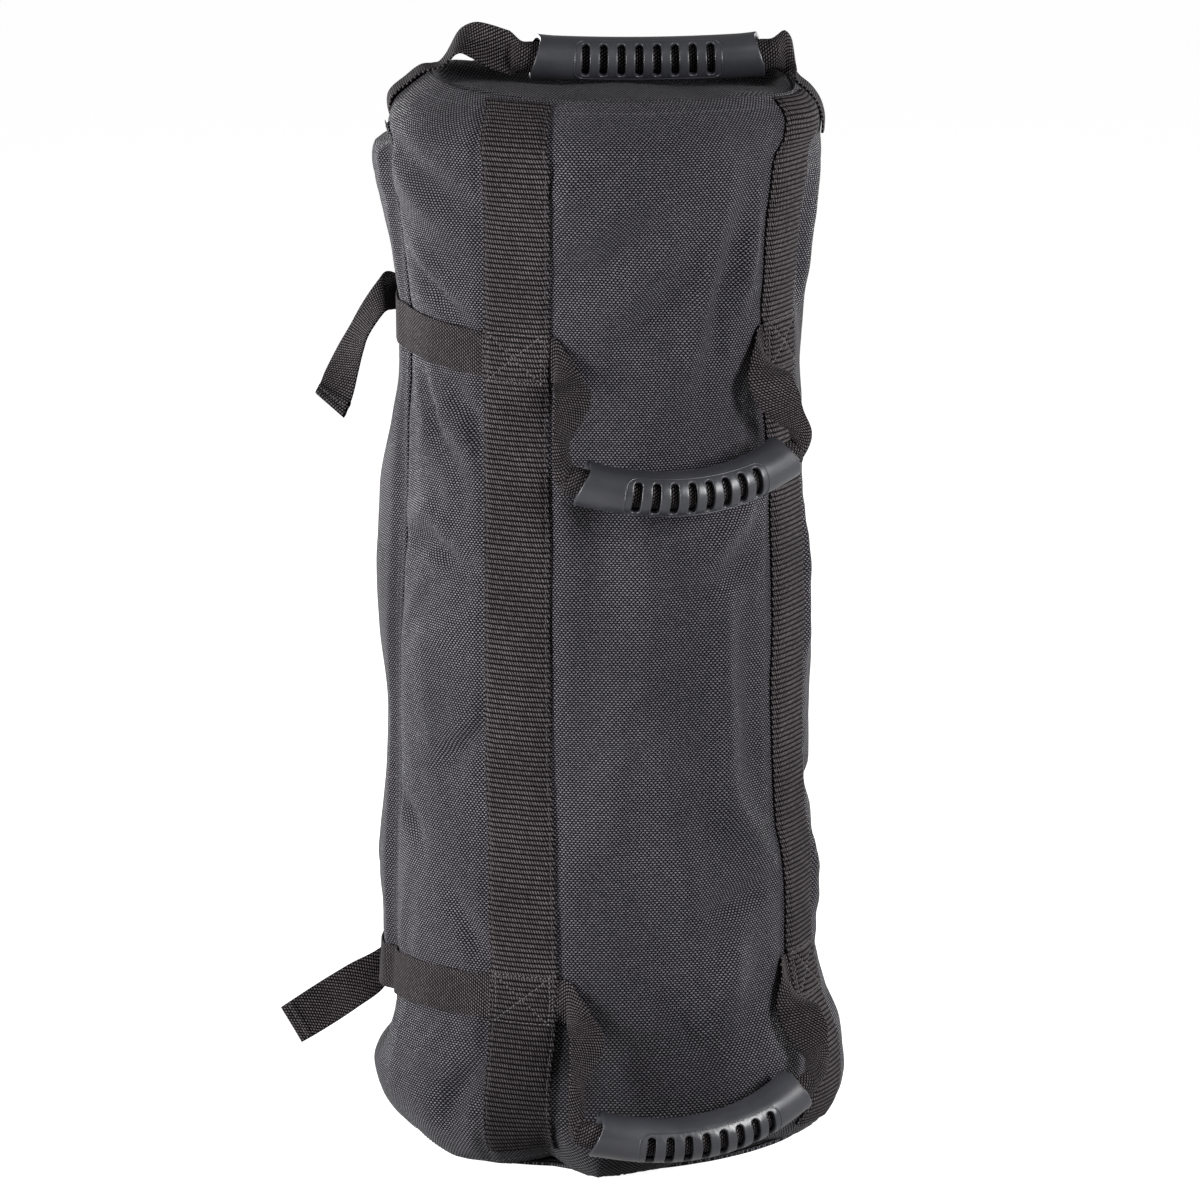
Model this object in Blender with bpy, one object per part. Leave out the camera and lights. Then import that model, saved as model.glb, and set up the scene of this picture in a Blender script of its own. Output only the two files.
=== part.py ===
"""Sandbag trainer: a zipped cloth barrel with carry handles, two cinch straps and sand-filled inner bags.

Metres, +Z up. The bag stands on its base, whose centre is the origin, and its handles face -Y.
Angles run from the front, -Y, and grow towards +X.
"""

import math

import bmesh
import bpy
from mathutils import Matrix, Vector

# Barrel
BAG_HEIGHT = 0.6045
BAG_RADIUS = 0.120
CLOTH = 0.0016
LEAN = 0.0055
LEAN_ANGLE = math.radians(71)
LEAN_SHARES = (0.07, 0.20)
TOP_LEAN = 0.0065
TOP_LEAN_SHARES = (0.953, 1.0)
# Height share and radius share of the barrel's outline, from the floor seam to the top seam
OUTLINE_SHARES = (
    (0.0, 0.935), (0.007, 0.985), (0.020, 1.045), (0.038, 1.093), (0.060, 1.113), (0.096, 1.100),
    (0.132, 1.045), (0.174, 1.012), (0.248, 1.004), (0.323, 0.992), (0.397, 0.983), (0.473, 0.979),
    (0.546, 0.963), (0.604, 0.947), (0.678, 0.940), (0.733, 0.924), (0.789, 0.924), (0.827, 0.945),
    (0.882, 0.987), (0.926, 1.027), (0.953, 1.015), (0.973, 0.945), (0.988, 0.865), (1.0, 0.785),
)
RIM_LIFT = 0.008
RIM_LIFT_ANGLE = math.radians(-135)
RIM_LIFT_SHARES = (0.90, 1.0)
BARREL_SIDES = 35
SLOPE_SHARE = 0.004

# Fits
SEAT_GAP = 0.0003
LAID_GAP = 0.0006
OVERRUN = 0.004

# End panels and the tapes over their seams inside
PANEL_RING_SHARES = (0.93, 0.80, 0.60, 0.40, 0.20)
TROUGH = 0.0090
TROUGH_INNER = 0.013
TROUGH_OUTER = 0.034
TROUGH_SHARES = (0.93, 1.0)
SEAM_TAPE = 0.0010

# Webbing
WEB = 0.0014
LONG_STRAP_WIDTH = 0.040
LONG_STRAP_ANGLE = math.radians(41.5)
LONG_STRAP_SHARES = (0.020, 0.993)
NARROW_WEB_WIDTH = 0.025
UPPER_DROP = 0.1435
UPPER_LEVEL = BAG_HEIGHT - UPPER_DROP
LOWER_LEVEL = 0.100

# Zip, in a flat of the barrel under the flap
ZIP_ANGLE = math.radians(-114)
ZIP_INSET = 0.019
ZIP_DEPTH = BAG_RADIUS - ZIP_INSET
ZIP_FLAT = math.radians(9)
ZIP_FADE = math.radians(26)
ZIP_FLAT_SHARES = (0.060, 0.132, 0.930, 0.980)
SLOT_WIDTH = 0.014
SLOT_LOW = 0.085
SLOT_DROP = 0.0545
SLOT_HIGH = BAG_HEIGHT - SLOT_DROP
TAPE_WIDTH = 0.013
TAPE = 0.0008
COIL_WIDTH = 0.0022
COIL_HEIGHT = 0.0018
COIL_SPACE = 0.0016
STOP_LENGTH = 0.004
SLIDER_LENGTH = 0.012
SLIDER_WIDTH = 0.0092
SLIDER_PLATE = 0.0010
SLIDER_REST = 0.013
SLIDER_START = SLOT_LOW + STOP_LENGTH + SLIDER_REST
BAIL_WIDTH = 0.0022
BAIL_HEIGHT = 0.0027
BAIL_LENGTH = 0.0070
BAIL_WALL = 0.0009
PULL_LENGTH = 0.026
PULL_WIDTH = 0.0070
PULL = 0.0008
PULL_EYE_LENGTH = 0.0036
PULL_CLEARANCE = 0.0005

# Flap over the zip
FLAP_ROOT = math.radians(-93)
FLAP_EDGE = math.radians(-132)
FLAP_SHARES = (0.132, 0.960)
FLAP_BULGE = 0.0087
FLAP_BULGE_SHARES = (
    (0.132, 0.0), (0.20, 0.0), (0.26, 0.35), (0.35, 0.05), (0.40, 0.0), (0.473, 0.60),
    (0.546, 1.0), (0.604, 1.0), (0.678, 0.25), (0.72, 0.0), (0.83, 0.0), (0.90, 0.30), (0.96, 0.0),
)
FLAP_COLUMNS = 8

# Side release buckles on the cinch straps
BUCKLE_ANGLE = math.radians(-147)
BUCKLE_WIDTH = 0.032
BUCKLE_HEIGHT = 0.0085
BUCKLE_WALL = 0.0015
SOCKET_LENGTH = 0.034
CAVITY_DEPTH = 0.022
CAVITY_WIDTH = 0.0262
WINDOW_NEAR = 0.0055
WINDOW_FAR = 0.0155
WEB_SLOT = 0.0048
END_BAR = 0.0034
SLOT_SIDE_ROOM = 0.0006
PLUG_FRAME_LENGTH = 0.022
PLUG_HEIGHT = 0.0050
PLUG_START = 0.0005
PLUG_SLOT = 0.0062
MIDDLE_BAR = 0.0026
ARM_LENGTH = 0.0175
ARM_WIDTH = 0.0036
ARM_SPREAD = 0.0078
ARM_HEIGHT = 0.0036
BARB_REACH = 0.0010
BARB_LENGTH = 0.0072
BARB_CLEARANCE = 0.0012
GUIDE_WIDTH = 0.0048
ANCHOR_END_ANGLE = math.radians(-183)
CINCH_LIFT = 0.0040
STRAP_RISE = math.radians(5)
UPPER_RISE = 0.010
LOWER_RISE = -0.008
TAIL_LENGTH = 0.100
TAIL_HEM_SHARE = 0.10
# Places along each tail as shares of its length, along the strap, outwards and upwards, with the way its width points
UPPER_TAIL_SHARES = (
    ((0.10, 0.00, 0.00), (0.0, 0.0, 1.0)), ((0.20, 0.02, -0.01), (0.05, 0.25, 0.95)),
    ((0.27, 0.05, -0.09), (0.2, 0.7, 0.6)), ((0.31, 0.09, -0.20), (0.45, 0.85, 0.3)),
    ((0.35, 0.14, -0.34), (0.5, 0.8, 0.3)), ((0.355, 0.165, -0.47), (0.45, 0.75, 0.5)),
    ((0.39, 0.20, -0.54), (0.3, 0.63, 0.72)),
)
LOWER_TAIL_SHARES = (
    ((0.12, 0.036, -0.09), (0.05, 0.2, 0.9)), ((0.25, 0.10, -0.217), (0.15, 0.45, 0.82)),
    ((0.38, 0.217, -0.333), (0.195, 0.533, 0.82)), ((0.46, 0.32, -0.42), (0.195, 0.533, 0.82)),
)

# Grips and the handles that carry them
GRIP_LENGTH = 0.129
GRIP_RADIUS = 0.0125
GRIP_WALL = 0.0026
GRIP_SAG = 0.0100
GRIP_BOW = 0.0155
GRIP_SIDES = 14
GRIP_RINGS = 12
GRIP_FLARE_SHARES = ((0.0, 1.04), (0.06, 1.0), (0.94, 1.0), (1.0, 1.04))
SLOTS = 8
SLOT_ZONE_SHARE = 0.56
GRIP_SLOT_WIDTH = 0.0034
GRIP_SLOT_HEIGHT = 0.0165
FOLD_WIDTH = 0.0178
FOLD_THICKNESS = 0.0040
FOLD_INSET = 0.0065
HANDLE_HANG = 0.0605
HANDLE_TURN = math.radians(3.6)
UPPER_STAND_OFF = 0.0085
LOWER_STAND_OFF = 0.0020
LOWER_ROLL = math.radians(25)
UPPER_TILT = math.radians(2.4)
LOWER_TILT = math.radians(6.0)
HANDLE_LAID = 0.0030
ROOT_GAP = 0.0018
# Leg of a cross handle, from its root: its upper and lower edges inwards, outwards and down in shares of the webbing's
# width, then the share of the way to the grip's mouth and of the fold's extra thickness
LEG_SHARES = (
    ((0.32, 0.10, -0.16), (0.08, 0.36, 0.52), 0.0, 0.0), ((0.64, 0.18, 0.32), (0.16, 0.76, 0.48), 0.0, 0.0),
    ((0.92, 0.28, 0.72), (0.22, 1.08, 0.56), 0.0, 0.0), ((0.76, 0.56, 1.20), (0.26, 1.18, 0.96), 0.0, 0.1),
    ((0.35, 0.63, 1.00), (0.07, 1.03, 0.76), 0.25, 0.4), ((0.03, 0.41, 0.30), (-0.20, 0.75, 0.44), 0.60, 0.8),
)
# Top handle, along a line across the top panel
TOP_ANGLE = math.radians(-14.5)
TOP_GRIP_SHIFT = 0.0262
TOP_GRIP_RISE = 0.0089
TOP_GRIP_SAG = 0.0020
TOP_LOOP_RISE = 0.016
# Along share of the radius, height share of the loop's rise, and the way the width points (across, up)
TOP_LEFT_SHARES = (
    ((0.715, 0.50), (1.0, 0.0)), ((0.675, 0.80), (1.0, 0.1)), ((0.655, 1.04), (0.95, 0.3)),
    ((0.61, 1.20), (0.75, 0.65)), ((0.52, 1.25), (0.4, 0.9)), ((0.43, 1.02), (0.15, 1.0)),
)
TOP_RIGHT_SHARES = (
    ((0.895, 0.32), (1.0, 0.2)), ((0.895, 0.62), (0.75, 0.66)), ((0.865, 0.875), (0.3, 0.95)),
)
SEWN_SHARES = (0.973, 0.988, 0.997)

# Inner bags of sand, stacked in the barrel
INNER_BAGS = 3
INNER_SIDES = 24
INNER_CLOTH = 0.0010
INNER_GAP = 0.0060
INNER_ROUND = 0.016
INNER_DRAW_SHARE = 1.6
MOUTH_LENGTH = 0.130
MOUTH_WIDTH = 0.010
CLOSURE_LENGTH = 0.150
CLOSURE_WIDTH = 0.022
CLOSURE_HEIGHT = 0.0060

# Axes of a frame taken in another order: depth, height, along, and along, height, depth
DEPTH_FIRST = Matrix(((0.0, 0.0, 1.0, 0.0), (1.0, 0.0, 0.0, 0.0), (0.0, 1.0, 0.0, 0.0), (0.0, 0.0, 0.0, 1.0)))
WIDTH_SECOND = Matrix(((1.0, 0.0, 0.0, 0.0), (0.0, 0.0, 1.0, 0.0), (0.0, 1.0, 0.0, 0.0), (0.0, 0.0, 0.0, 1.0)))

COLOURS = {
    "cloth": ((0.055, 0.055, 0.062, 1.0), 0.72, 0.0),
    "webbing": ((0.040, 0.038, 0.038, 1.0), 0.85, 0.0),
    "grip_rubber": ((0.038, 0.040, 0.045, 1.0), 0.45, 0.0),
    "buckle_plastic": ((0.020, 0.020, 0.022, 1.0), 0.40, 0.0),
    "zip_plastic": ((0.025, 0.025, 0.028, 1.0), 0.50, 0.0),
    "zip_metal": ((0.30, 0.30, 0.31, 1.0), 0.35, 1.0),
    "inner_cloth": ((0.16, 0.16, 0.17, 1.0), 0.80, 0.0),
    "sand": ((0.55, 0.44, 0.30, 1.0), 0.95, 0.0),
}


def material(name):
    """The named material, made once."""
    found = bpy.data.materials.get(name)
    if found:
        return found
    colour, roughness, metallic = COLOURS[name]
    made = bpy.data.materials.new(name)
    made.use_nodes = True
    shader = made.node_tree.nodes["Principled BSDF"]
    shader.inputs["Base Color"].default_value = colour
    shader.inputs["Roughness"].default_value = roughness
    shader.inputs["Metallic"].default_value = metallic
    return made


def add_object(name, mesh, finish, smooth=True):
    """Links a mesh as a named object, with its faces turned outwards."""
    bm = bmesh.new()
    bm.from_mesh(mesh)
    bmesh.ops.recalc_face_normals(bm, faces=bm.faces)
    bm.to_mesh(mesh)
    bm.free()
    if smooth:
        mesh.shade_smooth()
        mesh.set_sharp_from_angle(angle=math.radians(40))
    mesh.materials.append(material(finish))
    made = bpy.data.objects.new(name, mesh)
    bpy.context.scene.collection.objects.link(made)
    return made


def mesh_from(name, points, faces):
    mesh = bpy.data.meshes.new(name)
    mesh.from_pydata([tuple(p) for p in points], [], faces)
    mesh.update()
    return mesh


def thick_sheet(name, outer, inner, finish, ring=False):
    """A sheet with two faces, each a grid of rows. A ring's rows close on themselves."""
    rows, columns = len(outer), len(outer[0])
    points = [p for row in outer for p in row] + [p for row in inner for p in row]
    back = rows * columns
    spans = columns if ring else columns - 1
    faces = []
    for i in range(rows - 1):
        for j in range(spans):
            k = (j + 1) % columns
            a, b, c, d = i * columns + j, i * columns + k, (i + 1) * columns + k, (i + 1) * columns + j
            faces += [(a, b, c), (a, c, d)]
            faces += [(back + c, back + b, back + a), (back + d, back + c, back + a)]
    for j in range(spans):
        k = (j + 1) % columns
        last = (rows - 1) * columns
        faces.append((k, j, back + j, back + k))
        faces.append((last + j, last + k, back + last + k, back + last + j))
    if not ring:
        for i in range(rows - 1):
            left, right = i * columns, (i + 1) * columns - 1
            faces.append((left, left + columns, back + left + columns, back + left))
            faces.append((right + columns, right, back + right, back + right + columns))
    return add_object(name, mesh_from(name, points, faces), finish)


def loft(name, loops, finish, mirrored=0):
    """A solid through closed loops, with a fan over each end. The first spans are split along the other diagonal."""
    sides = len(loops[0])
    points = [p for loop in loops for p in loop]
    faces = []
    for i in range(len(loops) - 1):
        for j in range(sides):
            k = (j + 1) % sides
            a, b, c, d = i * sides + j, i * sides + k, (i + 1) * sides + k, (i + 1) * sides + j
            faces += [(a, b, d), (b, c, d)] if i < mirrored else [(a, b, c), (a, c, d)]
    for start, loop in ((0, loops[0]), ((len(loops) - 1) * sides, loops[-1])):
        centre = len(points)
        points.append(sum((Vector(p) for p in loop), Vector()) / sides)
        for j in range(sides):
            faces.append((start + j, start + (j + 1) % sides, centre))
    return add_object(name, mesh_from(name, points, faces), finish)


def section(centre, way, width=NARROW_WEB_WIDTH, thickness=WEB):
    """A ribbon's section: its two edges and its thickness."""
    half = way.normalized() * width / 2
    return centre + half, centre - half, thickness


def ribbon(name, sections, finish):
    """Webbing through sections of (edge, other edge, thickness)."""
    loops = []
    for i, (high, low, thickness) in enumerate(sections):
        before, after = sections[max(i - 1, 0)], sections[min(i + 1, len(sections) - 1)]
        along = (after[0] + after[1]) - (before[0] + before[1])
        rise = along.cross(high - low).normalized() * thickness / 2
        loops.append([low - rise, high - rise, high + rise, low + rise])
    return loft(name, loops, finish)


def box_mesh(name, corners, place):
    """A mesh of boxes between pairs of corners, carried by a matrix."""
    bm = bmesh.new()
    for item in corners:
        low, high, local = item if len(item) == 3 else (*item, Matrix.Identity(4))
        low, high = Vector(low), Vector(high)
        size = Matrix.Diagonal((*(high - low), 1.0))
        bmesh.ops.create_cube(bm, size=1.0, matrix=place @ local @ Matrix.Translation((low + high) / 2) @ size)
    bmesh.ops.recalc_face_normals(bm, faces=bm.faces)
    mesh = bpy.data.meshes.new(name)
    bm.to_mesh(mesh)
    bm.free()
    return mesh


def prism_mesh(name, outline, low, high, place):
    """A mesh between two depths along the third axis, on an outline of points."""
    bm = bmesh.new()
    near = [bm.verts.new(place @ Vector((x, y, low))) for x, y in outline]
    far = [bm.verts.new(place @ Vector((x, y, high))) for x, y in outline]
    bm.faces.new(near)
    bm.faces.new(list(reversed(far)))
    for i in range(len(outline)):
        k = (i + 1) % len(outline)
        bm.faces.new((near[k], near[i], far[i], far[k]))
    bmesh.ops.recalc_face_normals(bm, faces=bm.faces)
    mesh = bpy.data.meshes.new(name)
    bm.to_mesh(mesh)
    bm.free()
    return mesh


def joined(name, meshes, finish):
    """One solid joined from overlapping meshes."""
    made = add_object(name, meshes[0], finish, smooth=False)
    for i, mesh in enumerate(meshes[1:]):
        helper = bpy.data.objects.new(f"{name}_join_{i}", mesh)
        hide(helper)
        join = made.modifiers.new("join", "BOOLEAN")
        join.operation = "UNION"
        join.object = helper
    return made


def boxes(name, corners, place, finish):
    """One solid joined from overlapping boxes."""
    return joined(name, [box_mesh(name, [corner], place) for corner in corners], finish)


def hide(helper):
    bpy.context.scene.collection.objects.link(helper)
    helper.hide_render = True
    helper.display_type = "WIRE"


def cut(made, corners, place):
    """Cuts boxes that don't overlap each other out of an object."""
    cutter = bpy.data.objects.new(f"{made.name}_cut", box_mesh(made.name, corners, place))
    hide(cutter)
    step = made.modifiers.new("cut", "BOOLEAN")
    step.operation = "DIFFERENCE"
    step.object = cutter
    return made


def carried(name, place, *pieces):
    """An empty at a joint, with the pieces that move there."""
    joint = bpy.data.objects.new(name, None)
    joint.location = place
    bpy.context.scene.collection.objects.link(joint)
    for piece in pieces:
        piece.parent = joint
        piece.matrix_parent_inverse = Matrix.Translation(-place)
    return joint


def step_between(low, high, value):
    """0 before low, 1 after high, smooth between."""
    t = min(1.0, max(0.0, (value - low) / (high - low)))
    return t * t * (3 - 2 * t)


def read_table(table, share):
    """Straight-line reading of a table of (share, value)."""
    for (s0, v0), (s1, v1) in zip(table, table[1:]):
        if share <= s1:
            return v0 + (v1 - v0) * max(0.0, share - s0) / (s1 - s0)
    return table[-1][1]


def turn(angle, other):
    """The signed angle from other to angle, under half a turn."""
    return (angle - other + math.pi) % (2 * math.pi) - math.pi


def round_radius(angle, height):
    """Radius of the filled barrel's outside, before the zip's flat."""
    share = height / BAG_HEIGHT
    lean = LEAN * (1 - step_between(*LEAN_SHARES, share)) + TOP_LEAN * step_between(*TOP_LEAN_SHARES, share)
    return BAG_RADIUS * read_table(OUTLINE_SHARES, share) + lean * math.cos(angle - LEAN_ANGLE)


def rim_lift(angle, height):
    """How far the wall is raised there towards its top seam."""
    way = max(0.0, math.cos(angle - RIM_LIFT_ANGLE))
    return RIM_LIFT * way * way * step_between(*RIM_LIFT_SHARES, height / BAG_HEIGHT)


def wall_radius(angle, height):
    """Radius of the barrel's outside, with the flat under the flap that the zip runs in."""
    off = abs(turn(angle, ZIP_ANGLE))
    share = height / BAG_HEIGHT
    low, flat_low, flat_high, high = ZIP_FLAT_SHARES
    beside = 1 - step_between(ZIP_FLAT, ZIP_FADE, off)
    tall = step_between(low, flat_low, share) * (1 - step_between(flat_high, high, share))
    flat = ZIP_DEPTH / math.cos(min(off, ZIP_FLAT))
    return round_radius(angle, height) + (flat - round_radius(angle, height)) * beside * tall


def polar(angle, radius, height):
    return Vector((radius * math.sin(angle), -radius * math.cos(angle), height))


def slope(height):
    """How fast the outline widens with height there."""
    reach = BAG_HEIGHT * SLOPE_SHARE
    low, high = max(0.0, height - reach), min(BAG_HEIGHT, height + reach)
    widened = read_table(OUTLINE_SHARES, high / BAG_HEIGHT) - read_table(OUTLINE_SHARES, low / BAG_HEIGHT)
    return BAG_RADIUS * widened / (high - low)


def on_wall(angle, height, offset=0.0, radius=wall_radius):
    """A point of the wall, moved square to it by offset."""
    lean = slope(height)
    size = math.hypot(1.0, lean)
    level = height + rim_lift(angle, height)
    return polar(angle, radius(angle, height) + offset / size, level - offset * lean / size)


def heights_between(low_share, high_share):
    """The outline's own heights between two shares, ends included."""
    inner = [s for s, _ in OUTLINE_SHARES if low_share < s < high_share]
    return [BAG_HEIGHT * s for s in (low_share, *inner, high_share)]


def spread(start, end, count):
    return [start + (end - start) * i / (count - 1) for i in range(count)]


def barrel_angles():
    """Corners of the barrel's round. The side that closes it is the flat for the zip."""
    first = ZIP_ANGLE + ZIP_FLAT
    return spread(first, first + 2 * (math.pi - ZIP_FLAT), BARREL_SIDES)


def barrel_panel():
    """The barrel, with a slot for the zip in its flat."""
    angles = barrel_angles()
    heights = heights_between(0.0, 1.0)
    outer = [[on_wall(a, h) for a in angles] for h in heights]
    inner = [[on_wall(a, h, -CLOTH) for a in angles] for h in heights]
    made = thick_sheet("barrel_panel", outer, inner, "cloth", ring=True)
    half = SLOT_WIDTH / 2
    low = (-half, ZIP_DEPTH - CLOTH - OVERRUN, SLOT_LOW)
    cut(made, [(low, (half, ZIP_DEPTH + OVERRUN, SLOT_HIGH))], zip_frame())


def zip_frame():
    """Frame with X along the barrel's round, Y outwards and Z up, at the zip."""
    return outward_frame(ZIP_ANGLE)


def outward_frame(angle, radius=0.0, height=0.0):
    """Frame at an angle of the barrel: X towards the front round the left side, Y outwards, Z up."""
    along = Vector((math.cos(angle), math.sin(angle), 0.0))
    out = Vector((math.sin(angle), -math.cos(angle), 0.0))
    place = polar(angle, radius, height)
    return Matrix((
        (along.x, out.x, 0.0, place.x), (along.y, out.y, 0.0, place.y), (0.0, 0.0, 1.0, place.z),
        (0.0, 0.0, 0.0, 1.0),
    ))


def top_surface(angle, radius, share):
    """Height of the top panel's outer face, which has a trough under the handle."""
    beside = abs(radius * math.sin(angle - TOP_ANGLE - math.pi / 2))
    deep = (1 - step_between(TROUGH_INNER, TROUGH_OUTER, beside)) * (1 - step_between(*TROUGH_SHARES, share))
    return BAG_HEIGHT + rim_lift(angle, BAG_HEIGHT) * share - TROUGH * deep


def bottom_surface(angle, radius, share):
    return 0.0


def panel_radius(angle, height):
    """Radius of an end panel, which fits inside the barrel's edge."""
    return on_wall(angle, height, -CLOTH).xy.length - SEAT_GAP


def panel_ring(height, surface, share, depth):
    """Points round an end panel at a share of its radius, at a depth under its outer face."""
    ring = []
    for angle in barrel_angles():
        radius = panel_radius(angle, height) * share
        ring.append(polar(angle, radius, surface(angle, radius, share) + depth))
    return ring


def end_panel(name, height, surface, inward):
    """A round end panel through rings on its two faces."""
    loops = [panel_ring(height, surface, share, 0.0) for share in (*reversed(PANEL_RING_SHARES), 1.0)]
    loops += [panel_ring(height, surface, share, inward * CLOTH) for share in (1.0, *PANEL_RING_SHARES)]
    return loft(name, loops, "cloth", len(PANEL_RING_SHARES))


def seam_tape(name, height, surface, inward):
    """A tape ring inside the barrel, behind the seam of an end panel."""
    shares = (1.0, PANEL_RING_SHARES[0])
    near = [panel_ring(height, surface, share, inward * (CLOTH + LAID_GAP)) for share in shares]
    far = [panel_ring(height, surface, share, inward * (CLOTH + LAID_GAP + SEAM_TAPE)) for share in shares]
    return thick_sheet(name, near, far, "webbing", ring=True)


def ends():
    """The panels that close the barrel at both ends, and the tapes over their seams."""
    end_panel("top_panel", BAG_HEIGHT, top_surface, -1)
    end_panel("bottom_panel", 0.0, bottom_surface, 1)
    seam_tape("top_seam_tape", BAG_HEIGHT, top_surface, -1)
    seam_tape("bottom_seam_tape", 0.0, bottom_surface, 1)


def long_strap(name, centre):
    """Wide webbing sewn down the barrel from seam to seam."""
    half = LONG_STRAP_WIDTH / 2 / BAG_RADIUS
    angles = spread(centre - half, centre + half, 4)
    heights = heights_between(*LONG_STRAP_SHARES)
    outer = [[on_wall(a, h, LAID_GAP + WEB) for a in angles] for h in heights]
    inner = [[on_wall(a, h, LAID_GAP) for a in angles] for h in heights]
    thick_sheet(name, outer, inner, "webbing")


def flap_offset(angle, height):
    """How far the flap's inner face stands outside the round barrel."""
    across = (angle - FLAP_ROOT) / (FLAP_EDGE - FLAP_ROOT)
    bulge = FLAP_BULGE * read_table(FLAP_BULGE_SHARES, height / BAG_HEIGHT)
    return LAID_GAP + bulge * math.sin(math.pi * across) ** 2


def zip_flap():
    """The cloth flap, sewn down at its front edge, that covers the zip."""
    angles = spread(FLAP_ROOT, FLAP_EDGE, FLAP_COLUMNS)
    heights = heights_between(*FLAP_SHARES)
    outer, inner = [], []
    for h in heights:
        inner.append([on_wall(a, h, flap_offset(a, h), round_radius) for a in angles])
        outer.append([on_wall(a, h, flap_offset(a, h) + CLOTH, round_radius) for a in angles])
    thick_sheet("zip_flap", outer, inner, "cloth")


def zip_parts():
    """Tapes behind the slot's edges, a coil on each, stops at both ends, the slider and its pull."""
    frame = zip_frame()
    tape_out = ZIP_DEPTH - CLOTH - SEAT_GAP
    coil_low = tape_out + SEAT_GAP
    inner_edge = COIL_SPACE / 2
    for name, side in (("front", 1), ("rear", -1)):
        xs = sorted((side * inner_edge, side * (inner_edge + TAPE_WIDTH)))
        low = (xs[0], tape_out - TAPE, SLOT_LOW - STOP_LENGTH)
        boxes(f"zip_tape_{name}", [(low, (xs[1], tape_out, SLOT_HIGH + STOP_LENGTH))], frame, "zip_plastic")
        xs = sorted((side * inner_edge, side * (inner_edge + COIL_WIDTH)))
        low = (xs[0], coil_low, SLOT_LOW + STOP_LENGTH)
        high = (xs[1], coil_low + COIL_HEIGHT, SLOT_HIGH - STOP_LENGTH)
        boxes(f"zip_coil_{name}", [(low, high)], frame, "zip_plastic")
    reach = inner_edge + COIL_WIDTH
    for name, low_z in (("bottom", SLOT_LOW + SEAT_GAP), ("top", SLOT_HIGH - STOP_LENGTH + SEAT_GAP)):
        high_z = low_z + STOP_LENGTH - 2 * SEAT_GAP
        stop = ((-reach, coil_low, low_z), (reach, coil_low + COIL_HEIGHT, high_z))
        boxes(f"zip_{name}_stop", [stop], frame, "zip_metal")
    zip_slider(frame, tape_out, coil_low)


def zip_slider(frame, tape_out, coil_low):
    """Slider: a plate on each side of the coils, a post between them and a bail for the pull."""
    half, low, high = SLIDER_WIDTH / 2, SLIDER_START, SLIDER_START + SLIDER_LENGTH
    post = COIL_SPACE / 2 - SEAT_GAP
    under = tape_out - TAPE - SEAT_GAP
    over = coil_low + COIL_HEIGHT + SEAT_GAP
    top = over + SLIDER_PLATE
    bail_low = low + (SLIDER_LENGTH - BAIL_LENGTH) / 2
    bail_high = bail_low + BAIL_LENGTH
    bail = BAIL_WIDTH / 2
    plates = [
        ((-half, over, low), (half, top, high)),
        ((-half, under - SLIDER_PLATE, low), (half, under, high)),
        ((-post, under - SLIDER_PLATE / 2, low + BAIL_WALL), (post, over + SLIDER_PLATE / 2, high - BAIL_WALL)),
    ]
    foot, crown = top - SLIDER_PLATE / 2, top + BAIL_HEIGHT
    arch = [(foot, bail_low), (crown, bail_low), (crown, bail_high), (foot, bail_high),
            (foot, bail_high - BAIL_WALL), (crown - BAIL_WALL, bail_high - BAIL_WALL),
            (crown - BAIL_WALL, bail_low + BAIL_WALL), (foot, bail_low + BAIL_WALL)]
    meshes = [box_mesh("zip_slider", [corner], frame) for corner in plates]
    meshes.append(prism_mesh("zip_slider", arch, -bail, bail, frame @ DEPTH_FIRST))
    slider = joined("zip_slider", meshes, "zip_metal")
    eye_high = bail_low + BAIL_WALL + PULL_CLEARANCE + PULL_EYE_LENGTH - BAIL_WALL
    depth = top + PULL_CLEARANCE
    eye_half = bail + PULL_CLEARANCE
    pull_half = PULL_WIDTH / 2
    pull_low = eye_high - PULL_LENGTH
    slot_low = bail_low - PULL_CLEARANCE
    pull = boxes("zip_pull", [((-pull_half, depth, pull_low), (pull_half, depth + PULL, eye_high))], frame,
                 "zip_metal")
    cut(pull, [((-eye_half, depth - OVERRUN, slot_low),
                (eye_half, depth + PULL + OVERRUN, eye_high - BAIL_WALL))], frame)
    carried("zip_travel", frame @ Vector((0.0, coil_low, low)), slider)
    carried("zip_pull_swing", frame @ Vector((0.0, depth, eye_high - BAIL_WALL / 2)), pull)


def buckle_radius(height):
    """Distance of a buckle's underside from the barrel's axis."""
    return wall_radius(BUCKLE_ANGLE, height) + CINCH_LIFT


def buckle_frame(height):
    return outward_frame(BUCKLE_ANGLE, buckle_radius(height), height)


def buckle_socket(name, height):
    """Socket: a flat box, hollow towards the plug, with side windows and a slot for its webbing."""
    half, web_half = BUCKLE_WIDTH / 2, NARROW_WEB_WIDTH / 2 + SLOT_SIDE_ROOM
    frame = buckle_frame(height)
    socket = boxes(name, [((-SOCKET_LENGTH, 0.0, -half), (0.0, BUCKLE_HEIGHT, half))], frame, "buckle_plastic")
    far = -SOCKET_LENGTH + END_BAR
    cavity = CAVITY_WIDTH / 2
    upper = BUCKLE_HEIGHT - BUCKLE_WALL
    cut(socket, [
        ((-CAVITY_DEPTH, BUCKLE_WALL, -cavity), (OVERRUN, upper, cavity)),
        ((far, -OVERRUN, -web_half), (far + WEB_SLOT, BUCKLE_HEIGHT + OVERRUN, web_half)),
    ], frame)
    cutter_low = (-WINDOW_FAR, BUCKLE_WALL, -half - OVERRUN)
    cut(socket, [(cutter_low, (-WINDOW_NEAR, upper, half + OVERRUN))], frame)


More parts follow.
